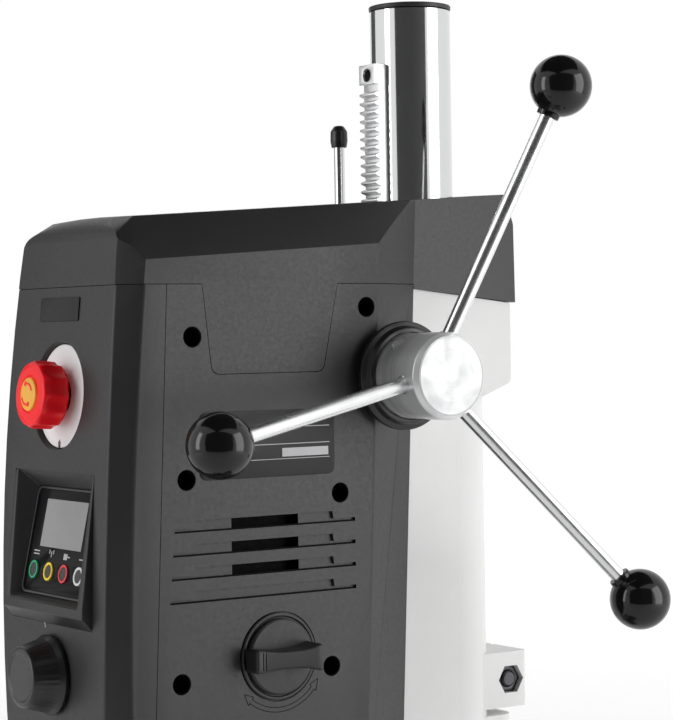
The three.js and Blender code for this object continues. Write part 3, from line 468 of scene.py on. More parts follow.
def cast(name, colour, rough):
    """Painted casting with a faint orange-peel surface."""
    nodes = Nodes(name)
    pits = nodes.noise(0.0012, 4)
    waves = nodes.noise(0.012, 2)
    slow = nodes.noise(0.09, 3)
    body = nodes.mix(nodes.spread(slow, 0, 1), tinted(colour, 0.92), colour)
    body = nodes.mix(nodes.spread(pits, 0, 0.2), body, tinted(colour, 0.9))
    peel = nodes.bump(pits, 0.00012, 0.5, nodes.bump(waves, 0.0004, 0.5))
    return nodes.dress(body, nodes.spread(pits, rough * 0.9, rough * 1.15), peel)


def plain(name, colour, rough, height, **settings):
    """Plastic that shows no worn edges."""
    return grained(name, colour, rough, height=height, wear=0.0, **settings)


COVER = grained("cover_plastic", (0.018, 0.018, 0.0184), 0.44, specular=0.42)
DIM_COVER = grained("selector_plastic", (0.016, 0.016, 0.0163), 0.46, height=0.000015, specular=0.42)
BLACK_MATTE = grained("black_satin_plastic", (0.012, 0.012, 0.0125), 0.33, height=0.000015)
BLACK_GLOSS = plain("black_gloss_plastic", (0.004, 0.004, 0.0043), 0.12, 0.000001, specular=0.4)
RED = plain("red_plastic", (1.0, 0.004, 0.012), 0.36, 0.000008, spread=0.04, specular=0.3)
YELLOW = grained("yellow_plastic", (0.9, 0.42, 0.03), 0.35, height=0.000008, wear=0.1)
WHITE = plain("white_plastic", (0.8, 0.81, 0.82), 0.35, 0.000008)
PLATE = plain("plate_film", (0.008, 0.008, 0.0085), 0.38, 0.000006, grain=0.0003, specular=0.25)
INK = plain("plate_marking", (0.42, 0.42, 0.43), 0.4, 0.000004, grain=0.0003)
GLASS = plain("display_glass", (0.006, 0.006, 0.007), 0.22, 0.000001, specular=0.06)
LCD = plain("display_lcd", (0.30, 0.302, 0.302), 0.4, 0.000002, grain=0.0002, specular=0.1)
# Near-black with little gloss: painted shade where it fills the cover joint gap, the vent interiors, the
# vents' lower edges and the screw wells; plain black for the screws, dial ticks and direction arrow.
DARK = plain("shadowed_steel", (0.003, 0.003, 0.003), 0.7, 0.00001, specular=0.1)
RING_COLOURS = {"green": (0.01, 0.30, 0.13), "yellow": (0.85, 0.60, 0.02), "red": (0.65, 0.03, 0.04),
                "white": (0.72, 0.74, 0.76)}
RINGS = {key: plain(f"{key}_ring", colour, 0.35, 0.000004) for key, colour in RING_COLOURS.items()}
WHITE_IRON = cast("white_painted_iron", (0.72, 0.72, 0.715), 0.45)
GREY_IRON = cast("grey_painted_iron", (0.16, 0.165, 0.17), 0.45)
GROUND_IRON = metal("ground_iron", (0.42, 0.43, 0.44), 0.34, (0.04, 1, 1), 0.000005)
CHROME = metal("chrome", (0.7, 0.705, 0.71), 0.09, (1, 1, 0.05), 0.0000006, 0.03)
SATIN_STEEL = metal("satin_steel", (0.8, 0.805, 0.81), 0.24, height=0.00000005, variation=0.01)
STEEL = metal("machined_steel", (0.56, 0.57, 0.58), 0.28, (1, 1, 0.2))
RACK_STEEL = metal("rack_steel", (0.72, 0.725, 0.73), 0.38, height=0.000008)
BLACK_STEEL = metal("black_oxide_steel", (0.06, 0.06, 0.065), 0.4)
GROUND_STEEL = metal("ground_steel", (0.60, 0.61, 0.62), 0.22, height=0.000002, variation=0.06)
PLATE_ALUMINIUM = metal("plate_aluminium", (0.74, 0.75, 0.76), 0.4)
# One aluminium in three copies for the hub: the rear ring lighter and partly diffuse and the front band
# partly diffuse as painted light, the face darker as painted shade; the turned rings are real.
REAR_ALUMINIUM = turned_aluminium("turned_aluminium", (0.86, 0.865, 0.87), 0.5, 0.0009, 0.34, 0.76)
FACE_ALUMINIUM = turned_aluminium("faced_aluminium", (0.47, 0.473, 0.476), 0.5, 0.0014, 0.1)
BAND_ALUMINIUM = turned_aluminium("band_aluminium", (0.8, 0.805, 0.81), 0.36, variation=0.08, metallic=0.5)


# ---------- covers ----------
def mirrored(corners):
    other = [[-corner[0], *corner[1:]] for corner in reversed(corners)]
    return corners + other


def bulge(z, middle, depth, radius):
    """A shallow arc in height, as every edge of the front has."""
    return depth + (z - middle) ** 2 / (2 * radius)


def front_at(z):
    """Depth of the front face."""
    return bulge(z, -195, -296.2, 2290)


def slope_at(z):
    return (front_at(z + 1) - front_at(z - 1)) / 2


def out_at(z):
    """The direction square to the front face."""
    return Vector((0, -1, slope_at(z))).normalized()


def up_at(z):
    return Vector((0, slope_at(z), 1)).normalized()


def bevel_at(z):
    """Depth at which the corner bevel meets the side."""
    return bulge(z, -230, -282.5, 3040)


def front_half_at(z):
    return -bulge(z, -90, -73.6, 2160)


LEVEL = 40                             # largest rise between two outlines of the covers


def cover_form(name, margin, z0, z1):
    """Outer form of the covers, drawn in by a margin."""
    half = SIDE_X - margin
    steps = math.ceil((z1 - z0) / LEVEL)
    heights = [z0 + (z1 - z0) * i / steps for i in range(steps + 1)]
    return stacked(name, heights, lambda z: mirrored([
        [front_half_at(z) - margin * 0.45, front_at(z) + margin],
        [half, bevel_at(z) + margin * 0.4],
        [half, REAR_CREASE_Y - margin * 0.3 + LEAN * z],
        [REAR_HALF - margin, REAR_TURN_Y - margin * 0.6 + LEAN * z],
        [REAR_HALF - margin, 80],
    ]))


def hull(name, corners):
    """The tightest convex body round a set of points."""
    bm = bmesh.new()
    for corner in corners:
        bm.verts.new(corner)
    made = bmesh.ops.convex_hull(bm, input=bm.verts[:])
    spare = dict.fromkeys(made["geom_interior"] + made["geom_unused"])
    inside = [item for item in spare if isinstance(item, bmesh.types.BMVert)]
    bmesh.ops.delete(bm, geom=inside, context="VERTS")
    return make_object(name, bm)


def front_line(z, margin):
    """Straight continuation of the front face, upwards from near its top."""
    touch = 80
    return front_at(touch) + slope_at(touch) * (z - touch) + margin - 0.02


def roof_form(margin, low_edge):
    """Crowned roof and its side bevels, rounded over into the front face."""
    rear = 60
    half = SIDE_X - margin
    bevel = BEVEL_Z - margin * 0.4
    front = front_line(bevel, margin)
    points = [(half, front_line(low_edge, margin), low_edge), (half, rear, low_edge),
              (half, front, bevel + ROOF_SLOPE * front), (half, rear, bevel + ROOF_SLOPE * rear)]
    wide = 1.5 - front_half_at(BEVEL_Z - 9) - margin * 0.4
    edge = ROOF_HALF - margin * 0.4
    for x, rise in ((edge, EDGE_RISE), (36, 1.3), (12, CROWN)):
        top = ROOF_Z + rise - margin
        corner = top + ROOF_SLOPE * front
        path = rounded([[front_line(low_edge, margin), low_edge],
                        [front_line(corner, margin), corner, ROOF_TURN - margin],
                        [rear, top + ROOF_SLOPE * rear]], TURN_STEPS, closed=False)
        for k, (y, z) in enumerate(path):
            half_width = x
            if x == edge and k <= TURN_STEPS + 1:
                share = max(0, k - 1) / TURN_STEPS
                half_width = wide + (edge + 3 - wide) * share ** 2.5
            points.append((half_width, y, z))
    return hull("roof", [(side * x, y, HEAD + z) for x, y, z in points for side in (1, -1)])


def upper_form(name, margin, low_edge):
    """Upper cover: footprint, side view and roof meet in one body."""
    top = ROOF_Z + CROWN + 0.3 - margin
    front = front_line(130, margin)
    side = side_prism("side", [
        [-310, low_edge],
        [-310, top + ROOF_SLOPE * front],
        [45 - margin, top + ROOF_SLOPE * 45, 4],
        [52.5 - margin, 105 - margin, 6],
        [53.5 - margin, low_edge - 13.4],
        [SKIRT_Y, low_edge - 13.4],
        [SKIRT_Y, low_edge],
    ], -WIDE, WIDE, steps=8)
    return common(cover_form(name, margin, -10, 150), side, roof_form(margin, low_edge - 20))


def tongue(side, grown, top):
    """The part of the upper cover that reaches down into a side cover, grown by a clearance."""
    corners = [[-226 - grown, top], [-219.5 - grown, 4.5 - grown, 6],
               [-134.5 + grown, 4.5 - grown, 6], [-122 + grown, top]]
    ends = sorted((side * (SIDE_X - WALL - grown), side * (SIDE_X + grown)))
    return side_prism("tongue", corners, *ends)


JOINT = 0.45                           # gap between two covers
LOUVRES = 8
LOUVRE_FRONT = -226
LOUVRE_STEP = 21


def upper_cover():
    outer = soften(upper_form("upper_cover_shell", 0, PARTING_Z - 8), 1.6, 4, 16)
    above = side_prism("above", [
        [AHEAD, PARTING_Z], [SKIRT_Y, PARTING_Z], [SKIRT_Y, PARTING_Z - 3], [53.5, PARTING_Z - 13.4],
        [80, PARTING_Z - 13.4], [80, 160], [AHEAD, 160],
    ], -WIDE, WIDE)
    inner = upper_form("inner", WALL, PARTING_Z - 20)
    hole = bar("hole", COLUMN_R + 1, (0, 0, 40), (0, 0, 150), 96)
    slot = block("slot", (-11.5, -41, 40), (11.5, 0, 150))
    cover = cut(common(outer, above), inner, join(hole, slot))
    for i in range(LOUVRES):
        y = LOUVRE_FRONT + i * LOUVRE_STEP
        for x in (-42, 6):
            cover = cut(cover, plan_prism("louvre", rectangle(x, y, x + 36, y + 7, 2), 80, 140))
    cover = join(cover, tongue(1, 0, PARTING_Z), tongue(-1, 0, PARTING_Z))
    settle(tidy_mesh(cover), "head", COVER, "cover_plastic", "upper_cover")


def joint_painted_shade():
    """A near-black strip inside the gap between the upper cover and the lower ones: painted shade in the
    gap.
    """
    low = PARTING_Z - JOINT + 0.02
    strip = cover_form("cover_joint_liner", 0.8, low, PARTING_Z - 0.02)
    strip = cut(strip, cover_form("hollow", WALL + 1.5, low - 5, PARTING_Z + 5))
    zone = block("zone", (-WIDE, AHEAD, low - 1), (WIDE, -50, PARTING_Z + 1))
    settle(common(strip, zone), "head", DARK, "black_matte")


def lower_ring(name, y_front, y_rear):
    top = PARTING_Z - JOINT
    ring = soften(cover_form(name, 0, COVER_BOTTOM, top + 10), 1.6, 4, 16)
    ring = cut(ring, cover_form("hollow", WALL, COVER_BOTTOM - 5, top + 15))
    zone = plan_prism("zone", rectangle(-WIDE, y_front, WIDE, y_rear), COVER_BOTTOM - 6, top, lean=LEAN)
    return common(ring, zone)


STOP_Z = -8.5
SPEED_Z = -190
DISPLAY_HALF = 56
DISPLAY_TOP = -58
DISPLAY_BOTTOM = -157
FACE_BACK = -262                       # clear of the front cover's wall, inside


def front_cover():
    cover = lower_ring("front_cover_shell", AHEAD, GROOVE_Y - JOINT / 2)
    opening = block("opening", (-DISPLAY_HALF - 0.3, AHEAD, DISPLAY_BOTTOM),
                    (DISPLAY_HALF + 0.3, FACE_BACK, DISPLAY_TOP))
    at = (0, front_at(STOP_Z), STOP_Z)
    back = lathe("back", [[-8, 0], [-8, 40], [-1.5, 40], [-1.5, 0]], at, out_at(STOP_Z))
    dish = lathe("dish", [
        [-20, 0], [-20, 34.3], [-4, 34.4, 0.5], [-0.8, 35.6, 0.6], [0.3, 36.6], [3, 36.6], [3, 0],
    ], at, out_at(STOP_Z))
    seat = bar("seat", 6, (0, AHEAD, SPEED_Z), (0, FACE_BACK, SPEED_Z))
    cover = cut(join(cover, back), opening, dish, seat)
    settle(cover, "head", COVER, "cover_plastic", "front_cover")


# depth and height of each screw of a side cover
COVER_SCREWS = ((-234, 28.5), (-99, 46.5), (-240, -62.5), (-122.5, -76.5), (-246, -192), (-131.5, -191))
VENT_Z = -96                           # lower edge of the first vent row
VENT_STEP = 15
VENTS = 4
VENT_FRONT = -249.5
VENT_REAR = -110.8
VENT_LEAN = 1.3                        # each row starts this much further forward
NOTCH_R = 30.2                         # opening round the feed shaft
GEAR = joint_at("gear_turn")
GEAR_Y = GEAR.y
GEAR_Z = GEAR.z - HEAD
GEAR_AT = (SIDE_X, GEAR_Y, GEAR_Z)


def vent_outline(row):
    """A long slot with a taller middle."""
    z = VENT_Z - row * VENT_STEP
    low = z + 2.6
    tall = z + 7.6
    front = VENT_FRONT - VENT_LEAN * row
    return [[front, z], [VENT_REAR, z], [VENT_REAR, low], [-128.2, low], [-129, tall],
            [-234, tall], [-234.8, low], [front, low]]


def side_cover(side):
    name = "right" if side > 0 else "left"
    half = lower_ring(f"{name}_side_shell", GROOVE_Y + JOINT / 2, REAR_TURN_Y)
    keep = block("keep", (CASTING_HALF + 0.5, -320, -320), (WIDE, 20, 90))
    if side < 0:
        keep.data.transform(Matrix.Scale(-1, 4, X))
        keep.data.flip_normals()
    cover = cut(common(half, keep), tongue(side, JOINT, PARTING_Z + 1))
    far = side * (SIDE_X + 4)
    near = side * (SIDE_X - 12)
    for y, z in COVER_SCREWS:
        cover = cut(cover, bar("well", 6.8, (near, y, z), (far, y, z), 48))
    deep = side * (SIDE_X - 2.3)
    for row in range(VENTS):
        cover = cut(cover, side_prism("vent", vent_outline(row), *sorted((deep, far))))
    for row in range(VENTS - 1):
        z = VENT_Z - row * VENT_STEP
        opening = rectangle(-206, z + 0.3, -154.7, z + 7.3)
        cover = cut(cover, side_prism("opening", opening, *sorted((near, far))))
    cover = cut(cover, bar("notch", NOTCH_R, (side * 60, FEED_Y, 0), (side * WIDE, FEED_Y, 0), 96))
    if side > 0:
        cover = cut(cover, ring_groove(29.6, 28.2, 1.6),
                    bar("bush", 10, (60, GEAR_Y, GEAR_Z), (90, GEAR_Y, GEAR_Z)))
    else:
        cover = cut(cover, bar("bush", 11, (-60, LIFT.y, LIFT.z), (-WIDE, LIFT.y, LIFT.z)))
    settle(cover, "head", COVER, "cover_plastic", f"{name}_side_cover")
    cover_screws(side, name)
    vent_painted_shade(side, name)
    vent_lines(side, name, deep)


def vent_painted_shade(side, name):
    """A near-black wall a little behind the openings: painted shade inside the cover."""
    low = VENT_Z - VENT_STEP * (VENTS - 2) - 8
    ends = sorted((side * (SIDE_X - WALL - 8), side * (SIDE_X - WALL - 9)))
    shade_wall = side_prism(f"{name}_vent_liner", rectangle(-216, low, -136, VENT_Z + 16), *ends)
    settle(shade_wall, "head", DARK, "black_steel")


def vent_lines(side, name, deep):
    """The shadow along the lower edge of each row."""
    ends = sorted((deep, side * (SIDE_X - 1.2)))
    lines = []
    for row in range(VENTS):
        z = VENT_Z - row * VENT_STEP
        front = VENT_FRONT - VENT_LEAN * row + 0.1
        lines.append(side_prism("line", rectangle(front, z + 0.05, VENT_REAR - 0.1, z + 0.9), *ends))
    settle(fuse(f"{name}_vent_lines", lines), "head", DARK, "black_matte")


def ring_groove(outer, inner, depth):
    profile = [[-depth, inner], [-depth, outer], [3, outer], [3, inner]]
    return lathe("groove", profile, GEAR_AT, X, closed=True)


def cover_screws(side, name):
    """Deep wells with a black socket screw at the bottom of each; the near-black lining round each well is
    painted shade.
    """
    wells = []
    for y, z in COVER_SCREWS:
        direction = (side, 0, 0)
        cup = [[-18, 0], [-18, 6.6], [-0.4, 6.6], [-0.4, 6.2], [-16, 6.0], [-16, 4.4], [-12.5, 4.2, 0.6],
               [-12.5, 2.2], [-14, 2.2], [-14, 0]]
        wells.append(lathe("well", cup, (side * SIDE_X, y, z), direction, 40))
    settle(fuse(f"{name}_cover_screws", wells), "head", DARK, "black_steel")


# ---------- plates and stop knob ----------
def front_frame(z):
    """Origin on the front face at a height, for pieces turned about the outward line."""
    return (0, front_at(z), z)


def plates():
    z = 47.8
    film = prism("name_plate_film", rectangle(-31, -7.8, 23, 7.8, 1.5), X, up_at(z), out_at(z),
                 (0, front_at(z) + 0.3, HEAD + z), 1.1)
    settle(soften(film, 0.25, 2), "head", PLATE, "black_matte", "name_plate")
    side = SIDE_X + 0.7
    data = side_prism("data_plate_film", [
        [-230, -63.4, 5], [-127, -63.4, 5], [-127, -20, 5], [-230, -20, 5],
    ], SIDE_X - 0.2, side)
    settle(soften(data, 0.2, 2), "head", PLATE, "black_matte", "data_plate")
    marks = []
    for y0, y1, z0, z1 in ((-226, -131, -31.5, -31), (-226, -131, -42.5, -42), (-226, -131, -52.2, -51.8),
                           (-168, -132, -50.6, -45)):
        marks.append(side_prism("rule", rectangle(y0, z0, y1, z1), side - 0.1, side + 0.08))
    settle(fuse("data_plate_rules", marks), "head", INK, "black_matte")


def stop_plate():
    out = out_at(STOP_Z)
    plate = lathe("stop_plate_disc", [[-7, 12.6], [-7, 33.9], [-3.4, 33.9, 0.4], [-3.4, 12.6]],
                  front_frame(STOP_Z), out, closed=True)
    foot = STOP_Z - 33.4
    notch = front_prism("notch", [
        [-1.8, foot - 2], [1.8, foot - 2], [1.8, foot + 3], [0, foot + 5], [-1.8, foot + 3],
    ], front_at(foot) + 9, front_at(foot) - 4)
    plate = cut(plate, notch)
    settle(plate, "head", WHITE, "white_plastic", "stop_dial_plate")


STOP_LOBES = 12
KNOB_BACK = 1.8                        # stop knob's back and front, off the front face
KNOB_FRONT = 20.8


def lobes(angle, along):
    """Flutes of the stop knob, which fade out towards its front edge."""
    if not KNOB_BACK < along < KNOB_FRONT - 1:
        return 1
    share = min(1, (KNOB_FRONT - 1 - along) / 4)
    return 1 - 0.07 * share * (0.5 + 0.5 * math.cos(STOP_LOBES * angle)) ** 0.7


def stop_knob():
    at = front_frame(STOP_Z)
    out = out_at(STOP_Z)
    back = KNOB_BACK
    front = KNOB_FRONT
    body = lathe("stop_knob_grip", [
        [-2, 0], [-2, 12], [back, 12], [back, 20.4, 0.8], [back + 1.6, 22, 1.2], [back + 7, 22.1],
        [front - 4.6, 22.1], [front - 2.6, 21.7], [front - 1, 20.4, 1], [front, 17, 2], [front - 0.3, 12.6],
        [front - 1.5, 11.6], [front - 1.5, 0],
    ], at, out, 240, ripple=lobes)
    settle(body, "stop", RED, "red_plastic", "stop_knob", angle=40)
    cap = lathe("stop_knob_cap", [
        [front - 3, 0], [front - 3, 10.8], [front + 0.6, 10.8, 0.8], [front + 1.5, 7.6, 3], [front + 1.5, 0],
    ], at, out)
    settle(cap, "stop", YELLOW, "yellow_plastic", "stop_cap")


def stop_arrows():
    """Two bent arrows on the stop knob's cap."""
    out = out_at(STOP_Z)
    arrows = []
    for k in range(2):
        turn = k * math.pi
        path = [turn + 0.35 + 1.9 * i / 16 for i in range(17)]
        bands = [(6.2, 7.6)] * 13 + [(5.2, 8.6), (5.8, 8.0), (6.3, 7.5), (6.85, 6.95)]
        outer = [[math.cos(a) * far, math.sin(a) * far] for a, (near, far) in zip(path, bands)]
        inner = [[math.cos(a) * near, math.sin(a) * near] for a, (near, far) in zip(path, bands)]
        origin = Vector((0, front_at(STOP_Z), HEAD + STOP_Z)) + out * (KNOB_FRONT + 1.2)
        arrows.append(prism("arrow", outer + inner[::-1], X, up_at(STOP_Z), out, origin, 0.5))
    settle(fuse("stop_knob_arrows", arrows), "stop", RED, "red_plastic")


# ---------- display ----------
DISPLAY_TILT = 0.217
BUTTON_Z = -124
BUTTON_PITCH = 21.2
LIP_Z = -149
LIP_OUT = 7
DISPLAY_IN = 3.1
SCREEN_WELL = (-44.5, -139.5, 44.5, -69.5)    # left, bottom, right, top
POCKET_MOUTH = (-53.9, -148.7, 53.9, -59.3)
SCREEN_OUT = Vector((0, -1, DISPLAY_TILT)).normalized()
SCREEN_UP = Vector((0, DISPLAY_TILT, 1)).normalized()
SCREEN_RISE = math.hypot(1, DISPLAY_TILT)


def display_at(z):
    return front_at(BUTTON_Z) + DISPLAY_IN + DISPLAY_TILT * (z - BUTTON_Z)


def screen_prism(name, corners, low, high):
    """Outline in X and height on the display's surface, between two levels off it."""
    points = [[corner[0], (corner[1] - BUTTON_Z) * SCREEN_RISE, *corner[2:]] for corner in corners]
    origin = Vector((0, display_at(BUTTON_Z), HEAD + BUTTON_Z)) + SCREEN_OUT * low
    return prism(name, points, X, SCREEN_UP, SCREEN_OUT, origin, high - low)


def tapered_pocket():
    """The sunken window round the screen, wider towards the front."""
    bm = bmesh.new()
    rings = []
    for level, sides in ((-0.01, SCREEN_WELL), (15, POCKET_MOUTH)):
        places = [Vector((x, display_at(z), HEAD + z)) for x, z, _ in rectangle(*sides)]
        rings.append([bm.verts.new(place + SCREEN_OUT * level) for place in places])
    bm.faces.new(rings[0])
    bm.faces.new(list(reversed(rings[1])))
    for i in range(4):
        j = (i + 1) % 4
        bm.faces.new((rings[0][i], rings[1][i], rings[1][j], rings[0][j]))
    return make_object("pocket", bm)


def display_hood():
    hood = side_prism("display_hood", [
        [FACE_BACK, DISPLAY_BOTTOM], [front_at(DISPLAY_BOTTOM), DISPLAY_BOTTOM],
        [front_at(LIP_Z) - LIP_OUT, LIP_Z, 1.5], [front_at(LIP_Z + 6) - LIP_OUT, LIP_Z + 6, 3],
        [front_at(DISPLAY_TOP), DISPLAY_TOP], [FACE_BACK, DISPLAY_TOP],
    ], -DISPLAY_HALF, DISPLAY_HALF)
    well = screen_prism("well", rectangle(*SCREEN_WELL), -20, 0.1)
    hood = soften(cut(hood, tapered_pocket(), well), 0.9, 3, 20)
    settle(hood, "head", COVER, "cover_plastic", "display_housing")


def display_pane():
    bezel = screen_prism("display_bezel", rectangle(-44.4, -139.4, 44.4, -69.6, 5), -3, 0.9)
    bezel = cut(bezel, screen_prism("inside", rectangle(-42.6, -137.8, 42.6, -71.2, 4.5), -4, 2))
    settle(soften(bezel, 0.3, 2), "head", BLACK_MATTE, "black_matte")
    pane = screen_prism("display_pane", rectangle(-42.5, -137.7, 42.5, -71.3, 4.5), -2, 0)
    for i in range(4):
        pane = cut(pane, screen_rod(button_x(i), 6.3, -5, 5))
    settle(soften(pane, 0.3, 2), "head", GLASS, "display_glass", "display_glass")
    lcd = screen_prism("display_window", rectangle(-29, -108.5, 29, -77.5, 0.8), -1, 0.12)
    settle(lcd, "head", LCD, "display_glass")


def button_x(i):
    return (i - 1.5) * BUTTON_PITCH


def screen_rod(x, radius, low, high):
    seat = Vector((x, display_at(BUTTON_Z), BUTTON_Z))
    return lathe("rod", [[low, 0], [low, radius], [high, radius], [high, 0]], seat, SCREEN_OUT, 48)


def button(i, colour):
    seat = (button_x(i), display_at(BUTTON_Z), BUTTON_Z)
    ring = lathe(f"{colour}_button_ring", [
        [-5, 4.4], [-5, 6.1], [0.9, 6.1, 0.4], [0.9, 4.7, 0.3], [0.5, 4.4],
    ], seat, SCREEN_OUT, 64, closed=True)
    settle(ring, colour, RINGS[colour], f"{colour}_plastic", f"{colour}_button")
    cap = lathe(f"{colour}_button_cap", [[-7, 0], [-7, 4.35], [0.5, 4.35, 0.3], [0.6, 3.5, 0.5], [0.35, 0]],
                seat, SCREEN_OUT, 48)
    settle(cap, colour, BLACK_MATTE, "black_matte")


def button_marks():
    """Plain signs over the buttons, made of short bars."""
    z = -113.5
    first, second, third, fourth = [button_x(i) for i in range(4)]
    signs = []
    bars = (
        (first - 4, first + 4, z + 1.4, z + 2.2), (first - 4, first + 4, z - 0.6, z + 0.2),
        (second - 0.5, second + 0.5, z - 1.2, z + 2.6),
        (second - 3.2, second - 2.2, z + 0.8, z + 3.4), (second + 2.2, second + 3.2, z + 0.8, z + 3.4),
        (third - 3.6, third + 1.4, z - 1.6, z + 2.2), (third + 1.4, third + 5, z - 0.1, z + 0.7),
        (fourth - 3, fourth + 3, z - 0.4, z + 0.4),
    )
    for x0, x1, z0, z1 in bars:
        signs.append(screen_prism("sign", rectangle(x0, z0, x1, z1), -0.2, 0.12))
    settle(fuse("display_signs", signs), "head", INK, "display_glass")


# ---------- speed knob ----------
KNOB_RIBS = 40


def ribs(angle, along):
    if 7 < along < 20:
        return 1 + 0.004 * math.cos(KNOB_RIBS * angle)
    return 1


def speed_knob():
    out = out_at(SPEED_Z)
    knob = lathe("speed_knob_grip", [
        [0.6, 0], [0.6, 25.8, 0.5], [3.2, 26.4, 0.8], [6.2, 24.4, 1.2], [7.2, 23.8], [12, 22.6], [17, 21.3],
        [20.4, 20.3], [23, 19.4, 2.4], [23.3, 16.2, 1], [22.7, 15.2, 0.6], [22.4, 0],
    ], front_frame(SPEED_Z), out, 240, ripple=ribs)
    settle(knob, "speed", BLACK_MATTE, "black_matte", "speed_knob", angle=40)
    mark = prism("speed_knob_mark", rectangle(-0.5, 18, 0.5, 25.4), X, up_at(SPEED_Z),
                 out, Vector((0, front_at(SPEED_Z), HEAD + SPEED_Z)) + out * 3.0, 0.8)
    settle(mark, "speed", INK, "black_matte")


def speed_scale_mark():
    """The slanted line over the speed knob."""
    z = SPEED_Z + 34
    turn = math.radians(16)
    across = X * math.cos(turn) + Z * math.sin(turn)
    up = Z * math.cos(turn) - X * math.sin(turn)
    line = prism("speed_scale_mark", rectangle(-0.5, 31, 0.5, 38), across, up, -Y,
                 (0, front_at(z) + 0.35, HEAD + SPEED_Z), 0.5)
    settle(line, "head", INK, "cover_plastic")


# ---------- gear selector ----------
def gear_ring():
    ring = lathe("gear_ring", [
        [-1.4, 10], [-1.4, 28.6], [0.9, 28.6, 0.5], [1.3, 27.6, 0.3], [1.3, 26.6, 0.3], [0.3, 26, 0.3],
        [0.3, 10],
    ], GEAR_AT, X, closed=True)
    settle(ring, "head", DIM_COVER, "black_matte", "gear_escutcheon")


def gear_selector():
    disc = lathe("gear_disc", [
        [-30, 0], [-30, 8.5], [0.8, 8.5], [0.8, 25, 0.6], [3.4, 25, 0.8], [4.4, 23.6, 0.8], [4.4, 0],
    ], GEAR_AT, X)
    grip = prism("grip", [
        [-27, -8, 2], [-27, 8, 2], [-10, 5.8, 40], [8, 6, 40], [21, 9.4, 2], [21, -9.4, 2], [8, -6, 40],
        [-10, -5.8, 40],
    ], Y, Z, X, (SIDE_X + 2, GEAR_Y, HEAD + GEAR_Z), 22)
    low = SIDE_X + 17
    high = SIDE_X + 22.5
    front = GEAR_Y - 40
    rear = GEAR_Y + 40
    crown = plan_prism("crown", [
        [SIDE_X, front], [low, front], [low, GEAR_Y - 20, 20], [high, GEAR_Y + 17, 16], [high, rear],
        [SIDE_X, rear],
    ], GEAR_Z - 30, GEAR_Z + 30)
    grip = soften(common(grip, crown), 2, 4, 30)
    stripes = [block("stripe", (SIDE_X + 12, y, GEAR_Z - 5.8), (SIDE_X + 30, y + 0.7, GEAR_Z + 5.8))
               for y in (GEAR_Y - 22.6, GEAR_Y - 20.6)]
    knob = cut(join(disc, grip), *stripes)
    settle(knob, "gear_select", DIM_COVER, "black_matte", "gear_knob")


def selector_point(radius, angle):
    return [radius * math.cos(angle), radius * math.sin(angle)]


def direction_arrow():
    """A double-headed arrow in thin outline, bent round below the selector."""
    start = math.radians(-140)
    end = math.radians(-30)
    head = 0.2
    count = 30
    near = 33.4
    far = 36.4
    line = 0.22
    origin = (SIDE_X - 0.4, GEAR_Y, HEAD + GEAR_Z)

    def stroke(points):
        """A thin line through points, as one flat strip."""
        strip = []
        for side in (1, -1):
            ordered = points if side > 0 else points[::-1]
            for i, point in enumerate(ordered):
                ahead = Vector(ordered[min(i + 1, len(ordered) - 1)]) - Vector(ordered[max(i - 1, 0)])
                normal = Vector((-ahead.y, ahead.x)).normalized() * line
                strip.append([point[0] + normal.x, point[1] + normal.y])
        return prism("stroke", strip, Y, Z, X, origin, 0.5)

    inner_angles = [start + head + (end - start - 2 * head) * i / count for i in range(count + 1)]
    pieces = [stroke([selector_point(radius, a) for a in inner_angles]) for radius in (near, far)]
    for tip, neck in ((start, start + head), (end, end - head)):
        middle = (near + far) / 2
        shape = [selector_point(near, neck), selector_point(near - 1.8, neck), selector_point(middle, tip),
                 selector_point(far + 1.8, neck), selector_point(far, neck)]
        pieces += [stroke([a, b]) for a, b in zip(shape, shape[1:])]
    settle(fuse("direction_arrow", pieces), "head", DARK, "cover_plastic")


# ---------- capstan ----------
SHAFT_HOLE = 10.4
BOSS_R = 29.7                          # collar and spring cap where they meet the head
BOSS_X = 77.9
HUB_R = 29
HUB_BACK = 92.6
HUB_STEP = 120.6
HUB_FACE = 142.4
BALL_X = 176.5
BALL_REACH = 201
BALL_R = 20.5
ROD_ROOT_X = 128
FIRST_ROD = math.radians(70.3)
FEED_AT = (0, FEED_Y, 0)


def feed_collar():
    collar = lathe("feed_collar_ring", [
        [BOSS_X, SHAFT_HOLE], [BOSS_X, BOSS_R], [82, BOSS_R], [82, 31, 0.3], [86.4, 31, 1.5],
        [88, 36.7, 0.8], [91.4, 36.7, 1.2], [92.6, 33.4, 0.8], [96.6, 32, 1], [97, 29.6], [92.2, 29.6],
        [92.2, SHAFT_HOLE],
    ], FEED_AT, X, closed=True)
    settle(collar, "head", BLACK_MATTE, "black_matte", "feed_collar")


